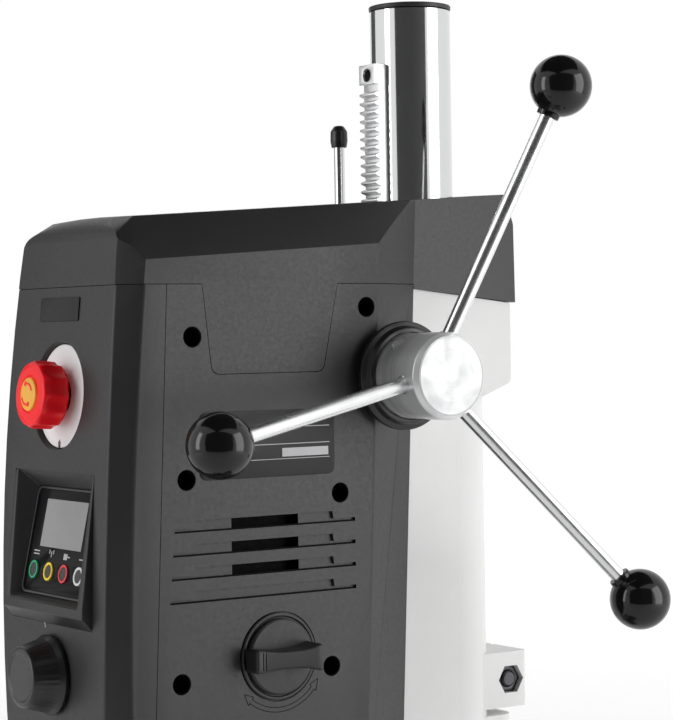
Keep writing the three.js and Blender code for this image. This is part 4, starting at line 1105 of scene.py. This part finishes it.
def capstan_hub():
    hub = lathe("capstan_hub_body", [
        [HUB_BACK, SHAFT_HOLE], [HUB_BACK, HUB_R - 1.6], [HUB_BACK + 1, HUB_R - 0.5],
        [HUB_STEP, HUB_R - 0.5], [HUB_STEP, 0], [HUB_BACK + 22, 0], [HUB_BACK + 22, SHAFT_HOLE],
    ], FEED_AT, X, 160)
    front = lathe("capstan_hub_front", [
        [HUB_STEP, 0], [HUB_STEP, HUB_R - 0.6], [HUB_STEP + 0.3, HUB_R - 0.1, 0.2],
        [HUB_FACE - 3.4, HUB_R - 0.1, 1.6], [HUB_FACE - 0.6, HUB_R - 2.5], [HUB_FACE - 0.6, 0],
    ], FEED_AT, X, 160)
    settle(front, "feed", BAND_ALUMINIUM, "aluminium")
    face = lathe("capstan_hub_face", [
        [HUB_FACE - 1, 0], [HUB_FACE - 1, HUB_R - 2.6], [HUB_FACE - 0.4, HUB_R - 2.6],
        [HUB_FACE, HUB_R - 4, 0.4], [HUB_FACE, 0],
    ], FEED_AT, X, 160)
    settle(face, "feed", FACE_ALUMINIUM, "aluminium")
    seat = Vector((108.5, FEED_Y, 0))
    towards = Vector((0, -0.62, 0.78)).normalized()
    socket = bar("socket", 5.7, seat, seat + towards * 60, 40)
    settle(cut(hub, socket), "feed", REAR_ALUMINIUM, "aluminium", "capstan_hub")
    screw = lathe("hub_set_screw", [
        [20, 0], [20, 5.5], [HUB_R - 1.4, 5.5, 0.8], [HUB_R - 0.9, 2.6], [HUB_R - 3, 2.4], [HUB_R - 3, 0],
    ], seat, towards, 40)
    settle(screw, "feed", BAND_ALUMINIUM, "steel")


def spring_cap():
    spring = lathe("spring_cap", [
        [BOSS_X, SHAFT_HOLE], [BOSS_X, BOSS_R], [83.5, BOSS_R], [83.5, 30.4, 0.8], [86, 31], [102.6, 31],
        [107, 27.4, 3], [107, 8], [106, 7, 0.4], [106, 0], [104, 0], [104, SHAFT_HOLE],
    ], FEED_AT, -X)
    settle(spring, "head", BLACK_MATTE, "black_matte", "return_spring_cap")


def capstan_arm(i):
    angle = FIRST_ROD + i * 2 * math.pi / 3
    radial = Vector((0, math.cos(angle), math.sin(angle)))
    slope = (BALL_X - ROD_ROOT_X) / (BALL_REACH - HUB_R)
    root = Vector((ROD_ROOT_X, FEED_Y, 0)) + radial * HUB_R
    run = (radial + X * slope).normalized()
    length = (BALL_REACH - HUB_R) * math.hypot(1, slope)
    arm = lathe(f"arm_{i + 1}", [[-12, 0], [-12, 5.1], [length - 12, 5.1], [length - 12, 0]], root, run, 64)
    settle(arm, "feed", SATIN_STEEL, "chrome", f"capstan_rod_{i + 1}")
    seat = lathe(f"arm_seat_{i + 1}", [[-3, 5.2], [-3, 6.4], [-0.6, 6.4, 0.4], [-0.2, 5.2]], root, run, 48,
                 closed=True)
    settle(seat, "feed", STEEL, "steel")
    profile = [[-BALL_R - 1.6, 5.3], [-BALL_R - 1.6, 7.6, 0.6]]
    first = math.asin(7.8 / BALL_R)
    steps = 30
    for k in range(steps + 1):
        turn = first + (math.pi - first) * k / steps
        profile.append([-BALL_R * math.cos(turn), BALL_R * math.sin(turn)])
    profile[-1][1] = 0
    profile += [[-9, 0], [-9, 5.3]]
    ball = lathe(f"ball_{i + 1}", profile, root + run * length, run, 96)
    settle(ball, "feed", BLACK_GLOSS, "black_gloss", f"capstan_ball_{i + 1}")


# ---------- column, rack and lock lever ----------
RACK_LINE = -37
RACK_TOP = 220
RACK_BOTTOM = -240
RACK_LAND = 14                         # plain length above the teeth
MODULE = 2
PITCH = math.pi * MODULE


def column():
    top = COLUMN_TOP - HEAD
    tube = lathe("column_tube", [
        [-587.7, 22], [-587.7, COLUMN_R - 0.5], [-587, COLUMN_R], [top - 4.6, COLUMN_R],
        [top - 4, COLUMN_R - 0.6], [top - 4, 22],
    ], (0, 0, 0), Z, 160, closed=True)
    tube = cut(tube, block("slot", (-9.7, -40, RACK_BOTTOM - 1), (9.7, -28, RACK_TOP + 1)))
    settle(tube, "stand", CHROME, "chrome", "column")
    cap = lathe("column_cap_disc", [
        [top - 14, 0], [top - 14, 21.5], [top - 3.6, 21.5], [top - 3.6, 29.4, 0.4], [top - 0.6, 29.6, 0.8],
        [top - 0.2, 27.5, 0.5], [top, 0],
    ], (0, 0, 0), Z, 128)
    settle(cap, "stand", COVER, "black_matte", "column_cap")


TIP = 0.85 * MODULE                    # height of a tooth outside the pitch line
ROOT = 1.2 * MODULE                    # and its depth inside
FLANK = math.tan(math.radians(20))


def tooth_row(line, side, start, first, last, root_round=0, tip_round=0):
    """Corners of the rack teeth first to last; side is +1 where they point to +Y."""
    half = 0.42 * PITCH / 2
    root = line - side * ROOT
    face = line + side * TIP
    corners = []
    for k in range(first, last):
        middle = start + (k + 0.5) * PITCH
        corners += [
            [root, middle - half - ROOT * FLANK, root_round],
            [face, middle - half + TIP * FLANK, tip_round], [face, middle + half - TIP * FLANK, tip_round],
            [root, middle + half + ROOT * FLANK, root_round],
        ]
    return corners


def rack():
    back = -28.3
    face = RACK_LINE - TIP
    lift = LIFT.z
    step = RACK_TOP - RACK_LAND
    first = math.ceil((RACK_BOTTOM + 8 + PITCH / 2 - lift) / PITCH)
    last = math.floor((step - PITCH / 2 - lift) / PITCH)
    corners = [[back, RACK_BOTTOM], [face, RACK_BOTTOM], [face, RACK_BOTTOM + 5],
               *tooth_row(RACK_LINE, -1, lift, first, last, 0.3, 0.35),
               [RACK_LINE + ROOT, step], [face, step], [face, RACK_TOP], [back, RACK_TOP]]
    bar_shape = side_prism("rack_bar", corners, -9.4, 9.4, steps=2)
    z = RACK_TOP - 7.5
    hole = lathe("hole", [[-0.5, 0], [-0.5, 5.2], [3.6, 2.8], [14, 2.8], [14, 0]], (0, face, z), Y, 48)
    bar_shape = soften(cut(bar_shape, hole), 0.25, 2, 40)
    settle(bar_shape, "stand", RACK_STEEL, "steel", "lifting_rack")
    screw = lathe("rack_screw_head", [[1, 0], [1, 4], [3.4, 2.4], [9, 2.4], [9, 0]], (0, face, z), Y, 32)
    settle(screw, "stand", DARK, "black_steel", "rack_screw")


LOCK_Y = -22
LOCK_Z = 22
LOCK_X = -61


def lock_lever():
    boss = lathe("lock_boss", [
        [-26, 0], [-26, 6], [-48.3, 6], [-48.3, 9, 0.5], [-68, 9], [-70, 7.2, 0.8], [-70, 0],
    ], (0, LOCK_Y, LOCK_Z), X, 64)
    handle = bar("handle", 3.9, (LOCK_X, LOCK_Y, LOCK_Z), (LOCK_X, LOCK_Y, 172), 48)
    settle(join(boss, handle), "lock", CHROME, "chrome", "lock_lever")
    cap = lathe("lock_cap", [[166, 4], [166, 5.6, 0.6], [171, 6.4, 3], [178, 6.2, 3], [182.1, 3.4, 2.6],
                             [182.2, 0], [172.4, 0], [172.4, 4]], (LOCK_X, LOCK_Y, 0), Z, 64)
    settle(cap, "lock", BLACK_MATTE, "black_matte", "lock_lever_cap")


# ---------- head casting ----------
CLAMP_Y = 52
CLAMP_Z = -223
NECK_TOP = 69.7
NECK_R = 42
FLAT_BOTTOM = -285


def casting_form():
    """The casting without its bores."""
    sleeve = bar("casting", CASTING_HALF, (0, 0, -300), (0, 0, 48), 96)
    neck = bar("neck", NECK_R, (0, 0, 40), (0, 0, NECK_TOP), 96)
    flats = side_prism("flats", [
        [-100, FLAT_BOTTOM], [0, FLAT_BOTTOM], [0, -22, 2], [21, -19, 5], [50, -8, 5], [50, 48.8, 2],
        [-33, 59], [-100, 59],
    ], -CASTING_HALF, CASTING_HALF)
    housing = bar("housing", NECK_R, (0, SPINDLE_Y, FLAT_BOTTOM), (0, SPINDLE_Y, NECK_TOP), 96)
    web = block("web", (-36, SPINDLE_Y, FLAT_BOTTOM), (36, 0, NECK_TOP))
    clamp = plan_prism("clamp", [[-40, 0], [40, 0], [40, 67, 4], [-40, 67, 4]], CLAMP_Z - 20, CLAMP_Z + 20)
    foot = plan_prism("foot", [[-40, 0], [40, 0], [40, 56, 12], [-40, 56, 12]], -300, -248)
    boss = bar("boss", 33, (-77.6, FEED_Y, 0), (77.6, FEED_Y, 0), 96)
    body = join(sleeve, flats, neck, housing, web, clamp, foot, boss)
    return soften(body, 2.2, 3, 28)


def casting():
    shaft = bar("shaft", SHAFT_HOLE, (-WIDE, FEED_Y, 0), (WIDE, FEED_Y, 0), 48)
    slit = block("slit", (-2, 10, CLAMP_Z - 30), (2, 70, CLAMP_Z + 24))
    bore = bar("bore", 6.4, (-45, CLAMP_Y, CLAMP_Z), (45, CLAMP_Y, CLAMP_Z), 48)
    pocket = hexagon("pocket", 19.4, 28, 45)
    quill = bar("quill_bore", 30.3, (0, SPINDLE_Y, -310), (0, SPINDLE_Y, 100), 96)
    column_bore = bar("column_bore", COLUMN_R + 0.4, (0, 0, -320), (0, 0, 100), 96)
    rack_slot = block("rack_slot", (-10.4, -40.5, -310), (10.4, 0, 80))
    lift_bore = bar("lift_bore", 8.4, (-60, LIFT.y, LIFT.z), (0, LIFT.y, LIFT.z), 48)
    body = cut(casting_form(), shaft, slit, bore, pocket, quill, column_bore, rack_slot, lift_bore)
    settle(body, "head", WHITE_IRON, "white_iron", "head_casting")


def clamp_bolt():
    bolt = lathe("clamp_bolt_shank", [
        [-52, 0], [-52, 9, 1], [-40.3, 9], [-40.3, 6], [37, 6, 0.8], [38, 4.6], [38, 0],
    ], (0, CLAMP_Y, CLAMP_Z), X, 48)
    settle(bolt, "head", BLACK_STEEL, "black_steel", "clamp_bolt")
    nut = cut(hexagon("clamp_nut_body", 18.6, 28.4, 36),
              bar("hole", 6.2, (20, CLAMP_Y, CLAMP_Z), (50, CLAMP_Y, CLAMP_Z)))
    settle(soften(nut, 0.5, 2), "head", BLACK_STEEL, "black_steel", "clamp_nut")


def hexagon(name, across_flats, x0, x1):
    """A hexagonal bar along X on the clamp axis, corners front and rear."""
    radius = across_flats / 2 / math.cos(math.pi / 6)
    corners = [[CLAMP_Y + radius * math.cos(i * math.pi / 3), CLAMP_Z + radius * math.sin(i * math.pi / 3)]
               for i in range(6)]
    return side_prism(name, corners, x0, x1)


# ---------- quill, spindle and collet ----------
QUILL_R = 30
QUILL_BOTTOM = -318
QUILL_TOP = 64
PINION_R = 12
SPINDLE_AT = (0, SPINDLE_Y, 0)


def quill():
    tube = lathe("quill_tube", [[QUILL_BOTTOM, 15.4], [QUILL_BOTTOM, 27], [QUILL_BOTTOM + 3, QUILL_R, 0.5],
                                [QUILL_TOP, QUILL_R, 0.5], [QUILL_TOP, 20], [-14, 20], [-14, 15.4]],
                 SPINDLE_AT, Z, 128, closed=True)
    line = FEED_Y - PINION_R - 0.3
    face = line + TIP
    first = math.ceil((-20 + PITCH / 2) / PITCH)
    last = math.floor((QUILL_TOP + 8 - PITCH / 2) / PITCH)
    corners = [[face + 10, -19], *tooth_row(line, 1, 0, first, last), [face + 10, QUILL_TOP + 8]]
    tube = cut(tube, side_prism("slot", corners, -17, 17))
    settle(tube, "quill_body", GROUND_STEEL, "steel", "quill")


def spindle():
    shaft = lathe("spindle_shaft", [
        [-332, 8], [-332, 19.4], [-331.2, 20], [-318.3, 20], [-318.3, 15], [-15, 15], [-15, 9], [60, 9, 1],
        [60, 0], [-300, 0], [-300, 6],
    ], SPINDLE_AT, Z, 96, closed=True)
    settle(shaft, "spindle_body", GROUND_STEEL, "steel", "spindle")


def collet():
    sleeve = lathe("collet_body", [
        [-362, 4], [-362, 8.6], [-361, 9.2], [-356, 10.5], [-332.4, 10.5], [-332.4, 4],
    ], SPINDLE_AT, Z, 96, closed=True)
    slits = []
    for i in range(3):
        turn = Matrix.Rotation(math.radians(60 * i), 4, "Z")
        slit = block("slit", (-0.4, -14, -364), (0.4, 14, -340))
        slit.data.transform(Matrix.Translation((0, SPINDLE_Y * MM, 0)) @ turn)
        slits.append(slit)
    settle(cut(sleeve, *slits), "spindle_body", GROUND_STEEL, "steel", "collet")


def collet_nut():
    nut = lathe("collet_nut_body", [
        [-359, 11], [-359, 18.4, 0.5], [-355.6, 21, 0.5], [-336, 21, 0.6], [-332.4, 19.8], [-332.4, 11],
    ], SPINDLE_AT, Z, 96, closed=True)
    notches = []
    for i in range(6):
        angle = i * math.pi / 3
        x = 23 * math.cos(angle)
        y = SPINDLE_Y + 23 * math.sin(angle)
        notches.append(bar("notch", 3, (x, y, -361), (x, y, -341), 32))
    settle(soften(cut(nut, *notches), 0.3, 2, 40), "spindle_body", BLACK_STEEL, "black_steel", "collet_nut")


# ---------- lifting crank and mains gland ----------
CRANK_LENGTH = 85


def lifting_crank():
    z = LIFT.z
    tip = z - CRANK_LENGTH
    x = LIFT.x
    arm = side_prism("crank_bar", [
        [LIFT.y - 14, z + 14, 12], [LIFT.y - 9, tip - 9, 8.5], [LIFT.y + 9, tip - 9, 8.5],
        [LIFT.y + 14, z + 14, 12],
    ], x - 10, x + 2)
    arm = soften(arm, 1.5, 3)
    arm = cut(arm, bar("hole", 8.3, (x - 12, LIFT.y, z), (x + 4, LIFT.y, z), 48),
              bar("hole", 4.3, (x - 12, LIFT.y, tip), (x + 4, LIFT.y, tip), 32))
    settle(arm, "crank", BLACK_STEEL, "black_steel", "crank_arm")
    grip = lathe("crank_handle", [
        [-1, 0], [-1, 4], [10.3, 4], [10.3, 8, 0.6], [16, 9.5, 6], [40, 12, 20], [58, 11, 5], [64.6, 7, 3],
        [65, 0],
    ], (x, LIFT.y, tip), -X, 64)
    settle(grip, "crank", BLACK_GLOSS, "black_matte", "crank_grip")


def cable_gland():
    gland = lathe("cable_gland", [
        [SIDE_X + 0.1, 0], [SIDE_X + 0.1, 11], [SIDE_X + 6, 11, 0.6], [SIDE_X + 7, 8.4, 0.4],
        [SIDE_X + 16, 6.5, 2], [SIDE_X + 18, 5, 0.5], [SIDE_X + 18, 2.5], [SIDE_X + 14, 2.5],
        [SIDE_X + 14, 0],
    ], (0, -215, -262), -X, 6 * 16, ripple=gland_hexagon)
    settle(gland, "head", BLACK_MATTE, "black_matte", "mains_gland")


def gland_hexagon(angle, along):
    if along > SIDE_X + 6.5:
        return 1
    part = (angle + math.pi / 6) % (math.pi / 3) - math.pi / 6
    return 0.9 / math.cos(part)


# ---------- base, saddle and table ----------
BASE_TOP = 40
WAY_TOP = 62
BASE_FRONT = -262
BASE_REAR = 78
SOCKET_R = 46
SOCKET_TOP = 80
Y_SCREW_Z = joint_at("y_wheel_turn").z
X_SCREW_Z = joint_at("x_wheel_turn").z
SADDLE_TOP = 96
TABLE_HALF = 185
TABLE_WIDTH = 65
TABLE_LOW = 84.4
TABLE_TOP = 135


def base():
    corners = mirrored([[95, BASE_FRONT, 14], [95, -70, 10], [80, BASE_REAR, 20]])
    plate = soften(plan_prism("base_plate", corners, 0, BASE_TOP, 0), 3, 4)
    way = front_prism("way", mirrored([[38, BASE_TOP - 2], [38, 48], [46, WAY_TOP]]), -64, BASE_FRONT + 4,
                      0, 0)
    trough = block("trough", (-16, BASE_FRONT - 1, 42), (16, -62, WAY_TOP + 1), 0)
    socket = lathe("socket", [[BASE_TOP - 1, 0], [BASE_TOP - 1, 55], [BASE_TOP + 10, SOCKET_R, 8],
                              [SOCKET_TOP, SOCKET_R, 2], [SOCKET_TOP, 0]], (0, 0, 0), Z, 128, base=0)
    body = join(cut(join(plate, way), trough), socket)
    bearing = cut(block("bearing", (-26, BASE_FRONT - 8, 30), (26, BASE_FRONT + 6, WAY_TOP), 0),
                  bar("hole", 7.3, (0, BASE_FRONT - 9, Y_SCREW_Z), (0, BASE_FRONT + 7, Y_SCREW_Z), 48, 0))
    body = join(body, soften(bearing, 1, 3))
    body = cut(body, bar("bore", COLUMN_R + 0.4, (0, 0, 12), (0, 0, SOCKET_TOP + 1), 128, 0))
    for y in (BASE_FRONT + 18, 50):
        for side in (-1, 1):
            x = side * 78 * (0.82 if y > 0 else 1)
            body = cut(body, lathe("bolt", [
                [-1, 0], [-1, 5.5], [BASE_TOP - 2, 5.5], [BASE_TOP - 2, 9.5], [BASE_TOP + 2, 9.5],
                [BASE_TOP + 2, 0],
            ], (x, y, 0), Z, 48, base=0))
    settle(body, "stand", GREY_IRON, "iron_grey", "base")


def saddle():
    y = SPINDLE_Y
    dovetail = [[y - 30, 83], [y + 30, 83], [y + 38, SADDLE_TOP], [y - 38, SADDLE_TOP]]
    lower = join(block("saddle_body", (-62, y - 62, WAY_TOP - 16), (62, y + 46, 84), 0),
                 side_prism("upper", dovetail, -62, 62, 0))
    fit = front_prism("fit", mirrored([[38.6, 30], [38.6, 48], [46.6, WAY_TOP + 0.3]]), 0, -300, 0, 0)
    lower = cut(lower, fit, block("gap", (-70, y - 12, 90), (70, y + 12, 100), 0))
    nut = block("nut", (-12, y - 16, 43), (12, y + 16, WAY_TOP + 4), 0)
    lower = join(soften(lower, 1.2, 3), nut)
    lower = cut(lower, bar("bore", 5.3, (0, -300, Y_SCREW_Z), (0, 0, Y_SCREW_Z), 48, 0))
    settle(lower, "saddle_body", GREY_IRON, "iron_grey", "saddle")


def table():
    y = SPINDLE_Y
    body = side_prism("table_body", [
        [y - TABLE_WIDTH, TABLE_LOW], [y - TABLE_WIDTH, TABLE_TOP, 1], [y + TABLE_WIDTH, TABLE_TOP, 1],
        [y + TABLE_WIDTH, TABLE_LOW], [y + 30.6, TABLE_LOW], [y + 38.6, SADDLE_TOP + 0.3],
        [y - 38.6, SADDLE_TOP + 0.3], [y - 30.6, TABLE_LOW],
    ], -TABLE_HALF, TABLE_HALF, 0)
    for offset in (-40, 0, 40):
        middle = y + offset
        slot = [[middle - 5, TABLE_TOP + 2], [middle - 5, TABLE_TOP - 9], [middle - 9, TABLE_TOP - 9],
                [middle - 9, TABLE_TOP - 16], [middle + 9, TABLE_TOP - 16], [middle + 9, TABLE_TOP - 9],
                [middle + 5, TABLE_TOP - 9], [middle + 5, TABLE_TOP + 2]]
        body = cut(body, side_prism("slot", slot, -200, 200, 0))
    body = cut(soften(body, 0.8, 2), bar("bore", 5.3, (-200, y, X_SCREW_Z), (200, y, X_SCREW_Z), 48, 0))
    settle(body, "table_body", GROUND_IRON, "ground_iron", "table")


# ---------- feed screws and handwheels ----------
WHEEL_R = 38


def handwheel(key, start, across):
    """Wheel, grip and dial on a feed screw's end; the grip stands to the side given."""
    node = f"{key}_handwheel"
    body = f"{key}_wheel"
    out = Vector(JOINTS[f"{key}_wheel_turn"]["axis"])
    start = Vector(start)
    wheel = lathe(f"{key}_wheel", [
        [2, 5.3], [2, 12, 0.8], [14, 12, 2], [14, 24, 4], [5.4, 31, 3], [5, WHEEL_R - 2.5, 1],
        [7, WHEEL_R, 1.5], [15, WHEEL_R, 1.5], [17, WHEEL_R - 2.5, 1], [17, 34, 1], [18.5, 25, 4],
        [22, 12, 3], [29.5, 12, 1], [30, 10, 0.4], [30, 5.3],
    ], start, out, 128, closed=True, base=0)
    pin = start + across * 29.5
    wheel = cut(wheel, bar("hole", 3.3, pin, pin + out * 28, 32, 0))
    settle(wheel, body, BLACK_GLOSS, "black_matte", node)
    grip = lathe(f"{key}_wheel_grip", [
        [8, 0], [8, 3], [19.4, 3], [19.4, 6, 0.4], [24, 7.5, 5], [46, 9, 12], [54, 7, 3], [56, 0],
    ], pin, out, 64, base=0)
    settle(grip, body, BLACK_GLOSS, "black_matte", f"{node}_grip")
    dial = lathe(f"{key}_dial", [[22, 12.1], [22, 12.8], [29, 12.8], [29, 12.1]], start, out, 96,
                 closed=True, base=0)
    settle(dial, body, GROUND_STEEL, "steel")
    settle(dial_ticks(key, start, out), body, DARK, "black_steel")


def dial_ticks(key, start, out):
    """Fifty lines round a handwheel's dial, every fifth one longer."""
    side = out.orthogonal().normalized()
    other = out.cross(side)
    ticks = []
    for i in range(50):
        angle = 2 * math.pi * i / 50
        away = side * math.cos(angle) + other * math.sin(angle)
        along = away.cross(out)
        length = 5 if i % 5 == 0 else 3
        origin = start + out * (29 - length) + away * 12.7 - along * 0.12
        ticks.append(prism("tick", rectangle(0, 0, 0.24, length), along, out, away, origin, 0.16))
    return fuse(f"{key}_dial_ticks", ticks)


# ---------- inner nodes that keep their CAD shape ----------
SHAFTS = ("pinion_shaft", "drive_sleeve", "counter_shaft", "motor_shaft", "lifting_shaft", "x_feed_screw",
          "y_feed_screw")


def inner_nodes():
    finishes = {name: GROUND_STEEL for name in SHAFTS}
    finishes["gear_plate"] = PLATE_ALUMINIUM
    finishes["motor_housing"] = BLACK_STEEL
    for name, finish in finishes.items():
        mesh = frame["nodes"][name].data
        mesh.materials.clear()
        mesh.materials.append(finish)


# ---------- camera, floor and light ----------
# the place, turn and lens that match the photograph; lengths in millimetres
AZIMUTH = math.radians(56.06)
DIP = math.radians(0.77)
ROLL = math.radians(-0.95)
DISTANCE = 1647.6
LENS = 113.85
SHIFT_RIGHT = -57.0
SHIFT_UP = 8.73


def camera():
    view = Vector((-math.sin(AZIMUTH) * math.cos(DIP), math.cos(AZIMUTH) * math.cos(DIP), -math.sin(DIP)))
    right = Vector((math.cos(AZIMUTH), math.sin(AZIMUTH), 0))
    up = right.cross(view)
    rolled_right = math.cos(ROLL) * right + math.sin(ROLL) * up
    rolled_up = math.cos(ROLL) * up - math.sin(ROLL) * right
    place = Vector((0, 0, HEAD)) - view * DISTANCE + rolled_right * SHIFT_RIGHT + rolled_up * SHIFT_UP
    data = bpy.data.cameras.new("camera")
    data.sensor_width = 36
    data.lens = LENS
    data.clip_end = 100
    data.clip_start = 0.01
    obj = linked("camera", data)
    turn = Matrix((rolled_right, rolled_up, -view)).transposed().to_4x4()
    obj.matrix_world = Matrix.Translation(place * MM) @ turn
    bpy.context.scene.camera = obj
    return view


AIM = Vector((0, -0.1, 0.62))          # middle of the light, in metres


def aimed(direction, distance, up):
    """Placing of something that faces the head from a direction."""
    place = AIM + Vector(direction).normalized() * distance + Z * up
    return Matrix.Translation(place) @ (place - AIM).to_track_quat("Z", "Y").to_matrix().to_4x4()


def panel(name, direction, distance, width, height, power):
    """A soft box that faces the head."""
    data = bpy.data.lights.new(name, "AREA")
    data.shape = "RECTANGLE"
    data.size = width
    data.size_y = height
    data.energy = power
    obj = linked(name, data)
    obj.matrix_world = aimed(direction, distance, 0)


def board(name, size, shade, glow=0.0):
    """A flat matt square."""
    bm = bmesh.new()
    bmesh.ops.create_grid(bm, x_segments=1, y_segments=1, size=size)
    obj = linked(name, mesh_from(name, bm))
    material = bpy.data.materials.new(name)
    material.use_nodes = True
    shader = material.node_tree.nodes["Principled BSDF"]
    shader.inputs["Base Color"].default_value = (shade, shade, shade, 1)
    shader.inputs["Roughness"].default_value = 0.9
    shader.inputs["Emission Color"].default_value = (1, 1, 1, 1)
    shader.inputs["Emission Strength"].default_value = glow
    obj.data.materials.append(material)
    return obj


def flag(name, direction, distance, width, height, up=0.0, shade=0.02):
    """A dark board out of the picture: hidden from the camera, and casting no shadow."""
    obj = board(name, 0.5, shade)
    obj.matrix_world = aimed(direction, distance, up) @ Matrix.Diagonal((width, height, 1, 1))
    obj.visible_camera = False
    obj.visible_shadow = False


def studio():
    near = -camera()
    world = bpy.data.worlds.new("studio")
    bpy.context.scene.world = world
    world.use_nodes = True
    world.node_tree.nodes["Background"].inputs["Color"].default_value = (1, 1, 1, 1)
    world.node_tree.nodes["Background"].inputs["Strength"].default_value = 1.0
    bpy.context.scene.view_settings.view_transform = "Standard"
    board("floor", 30, 0.93, 0.12)
    flag("camera_flag", (near.x, near.y, 0), 1.75, 3.4, 2.6, 0.25, 0.05)
    flag("top_flag", (0.0, 0.0, 1), 1.5, 2.4, 2.4)
    flag("left_flag", (-0.983, -0.19, 0), 2.4, 1.2, 2.4, 0.2, 0.1)
    panel("front_box", (-0.242, -0.971, 0.2), 2.0, 0.5, 1.5, 10)
    panel("right_box", (0.82, 0.57, 0.15), 2.2, 1.2, 2.0, 25)


# ---------- building ----------
upper_cover()
joint_painted_shade()
front_cover()
side_cover(1)
side_cover(-1)
plates()
stop_plate()
stop_knob()
stop_arrows()
display_hood()
display_pane()
button_marks()
for place, colour in enumerate(RING_COLOURS):
    button(place, colour)
speed_knob()
speed_scale_mark()
gear_ring()
gear_selector()
direction_arrow()
feed_collar()
capstan_hub()
for arm in range(3):
    capstan_arm(arm)
spring_cap()
column()
rack()
lock_lever()
casting()
clamp_bolt()
quill()
spindle()
collet()
collet_nut()
lifting_crank()
cable_gland()
base()
saddle()
table()
handwheel("x", (TABLE_HALF + 2, SPINDLE_Y, X_SCREW_Z), Y)
handwheel("y", (0, BASE_FRONT - 9, Y_SCREW_Z), X)
inner_nodes()
studio()
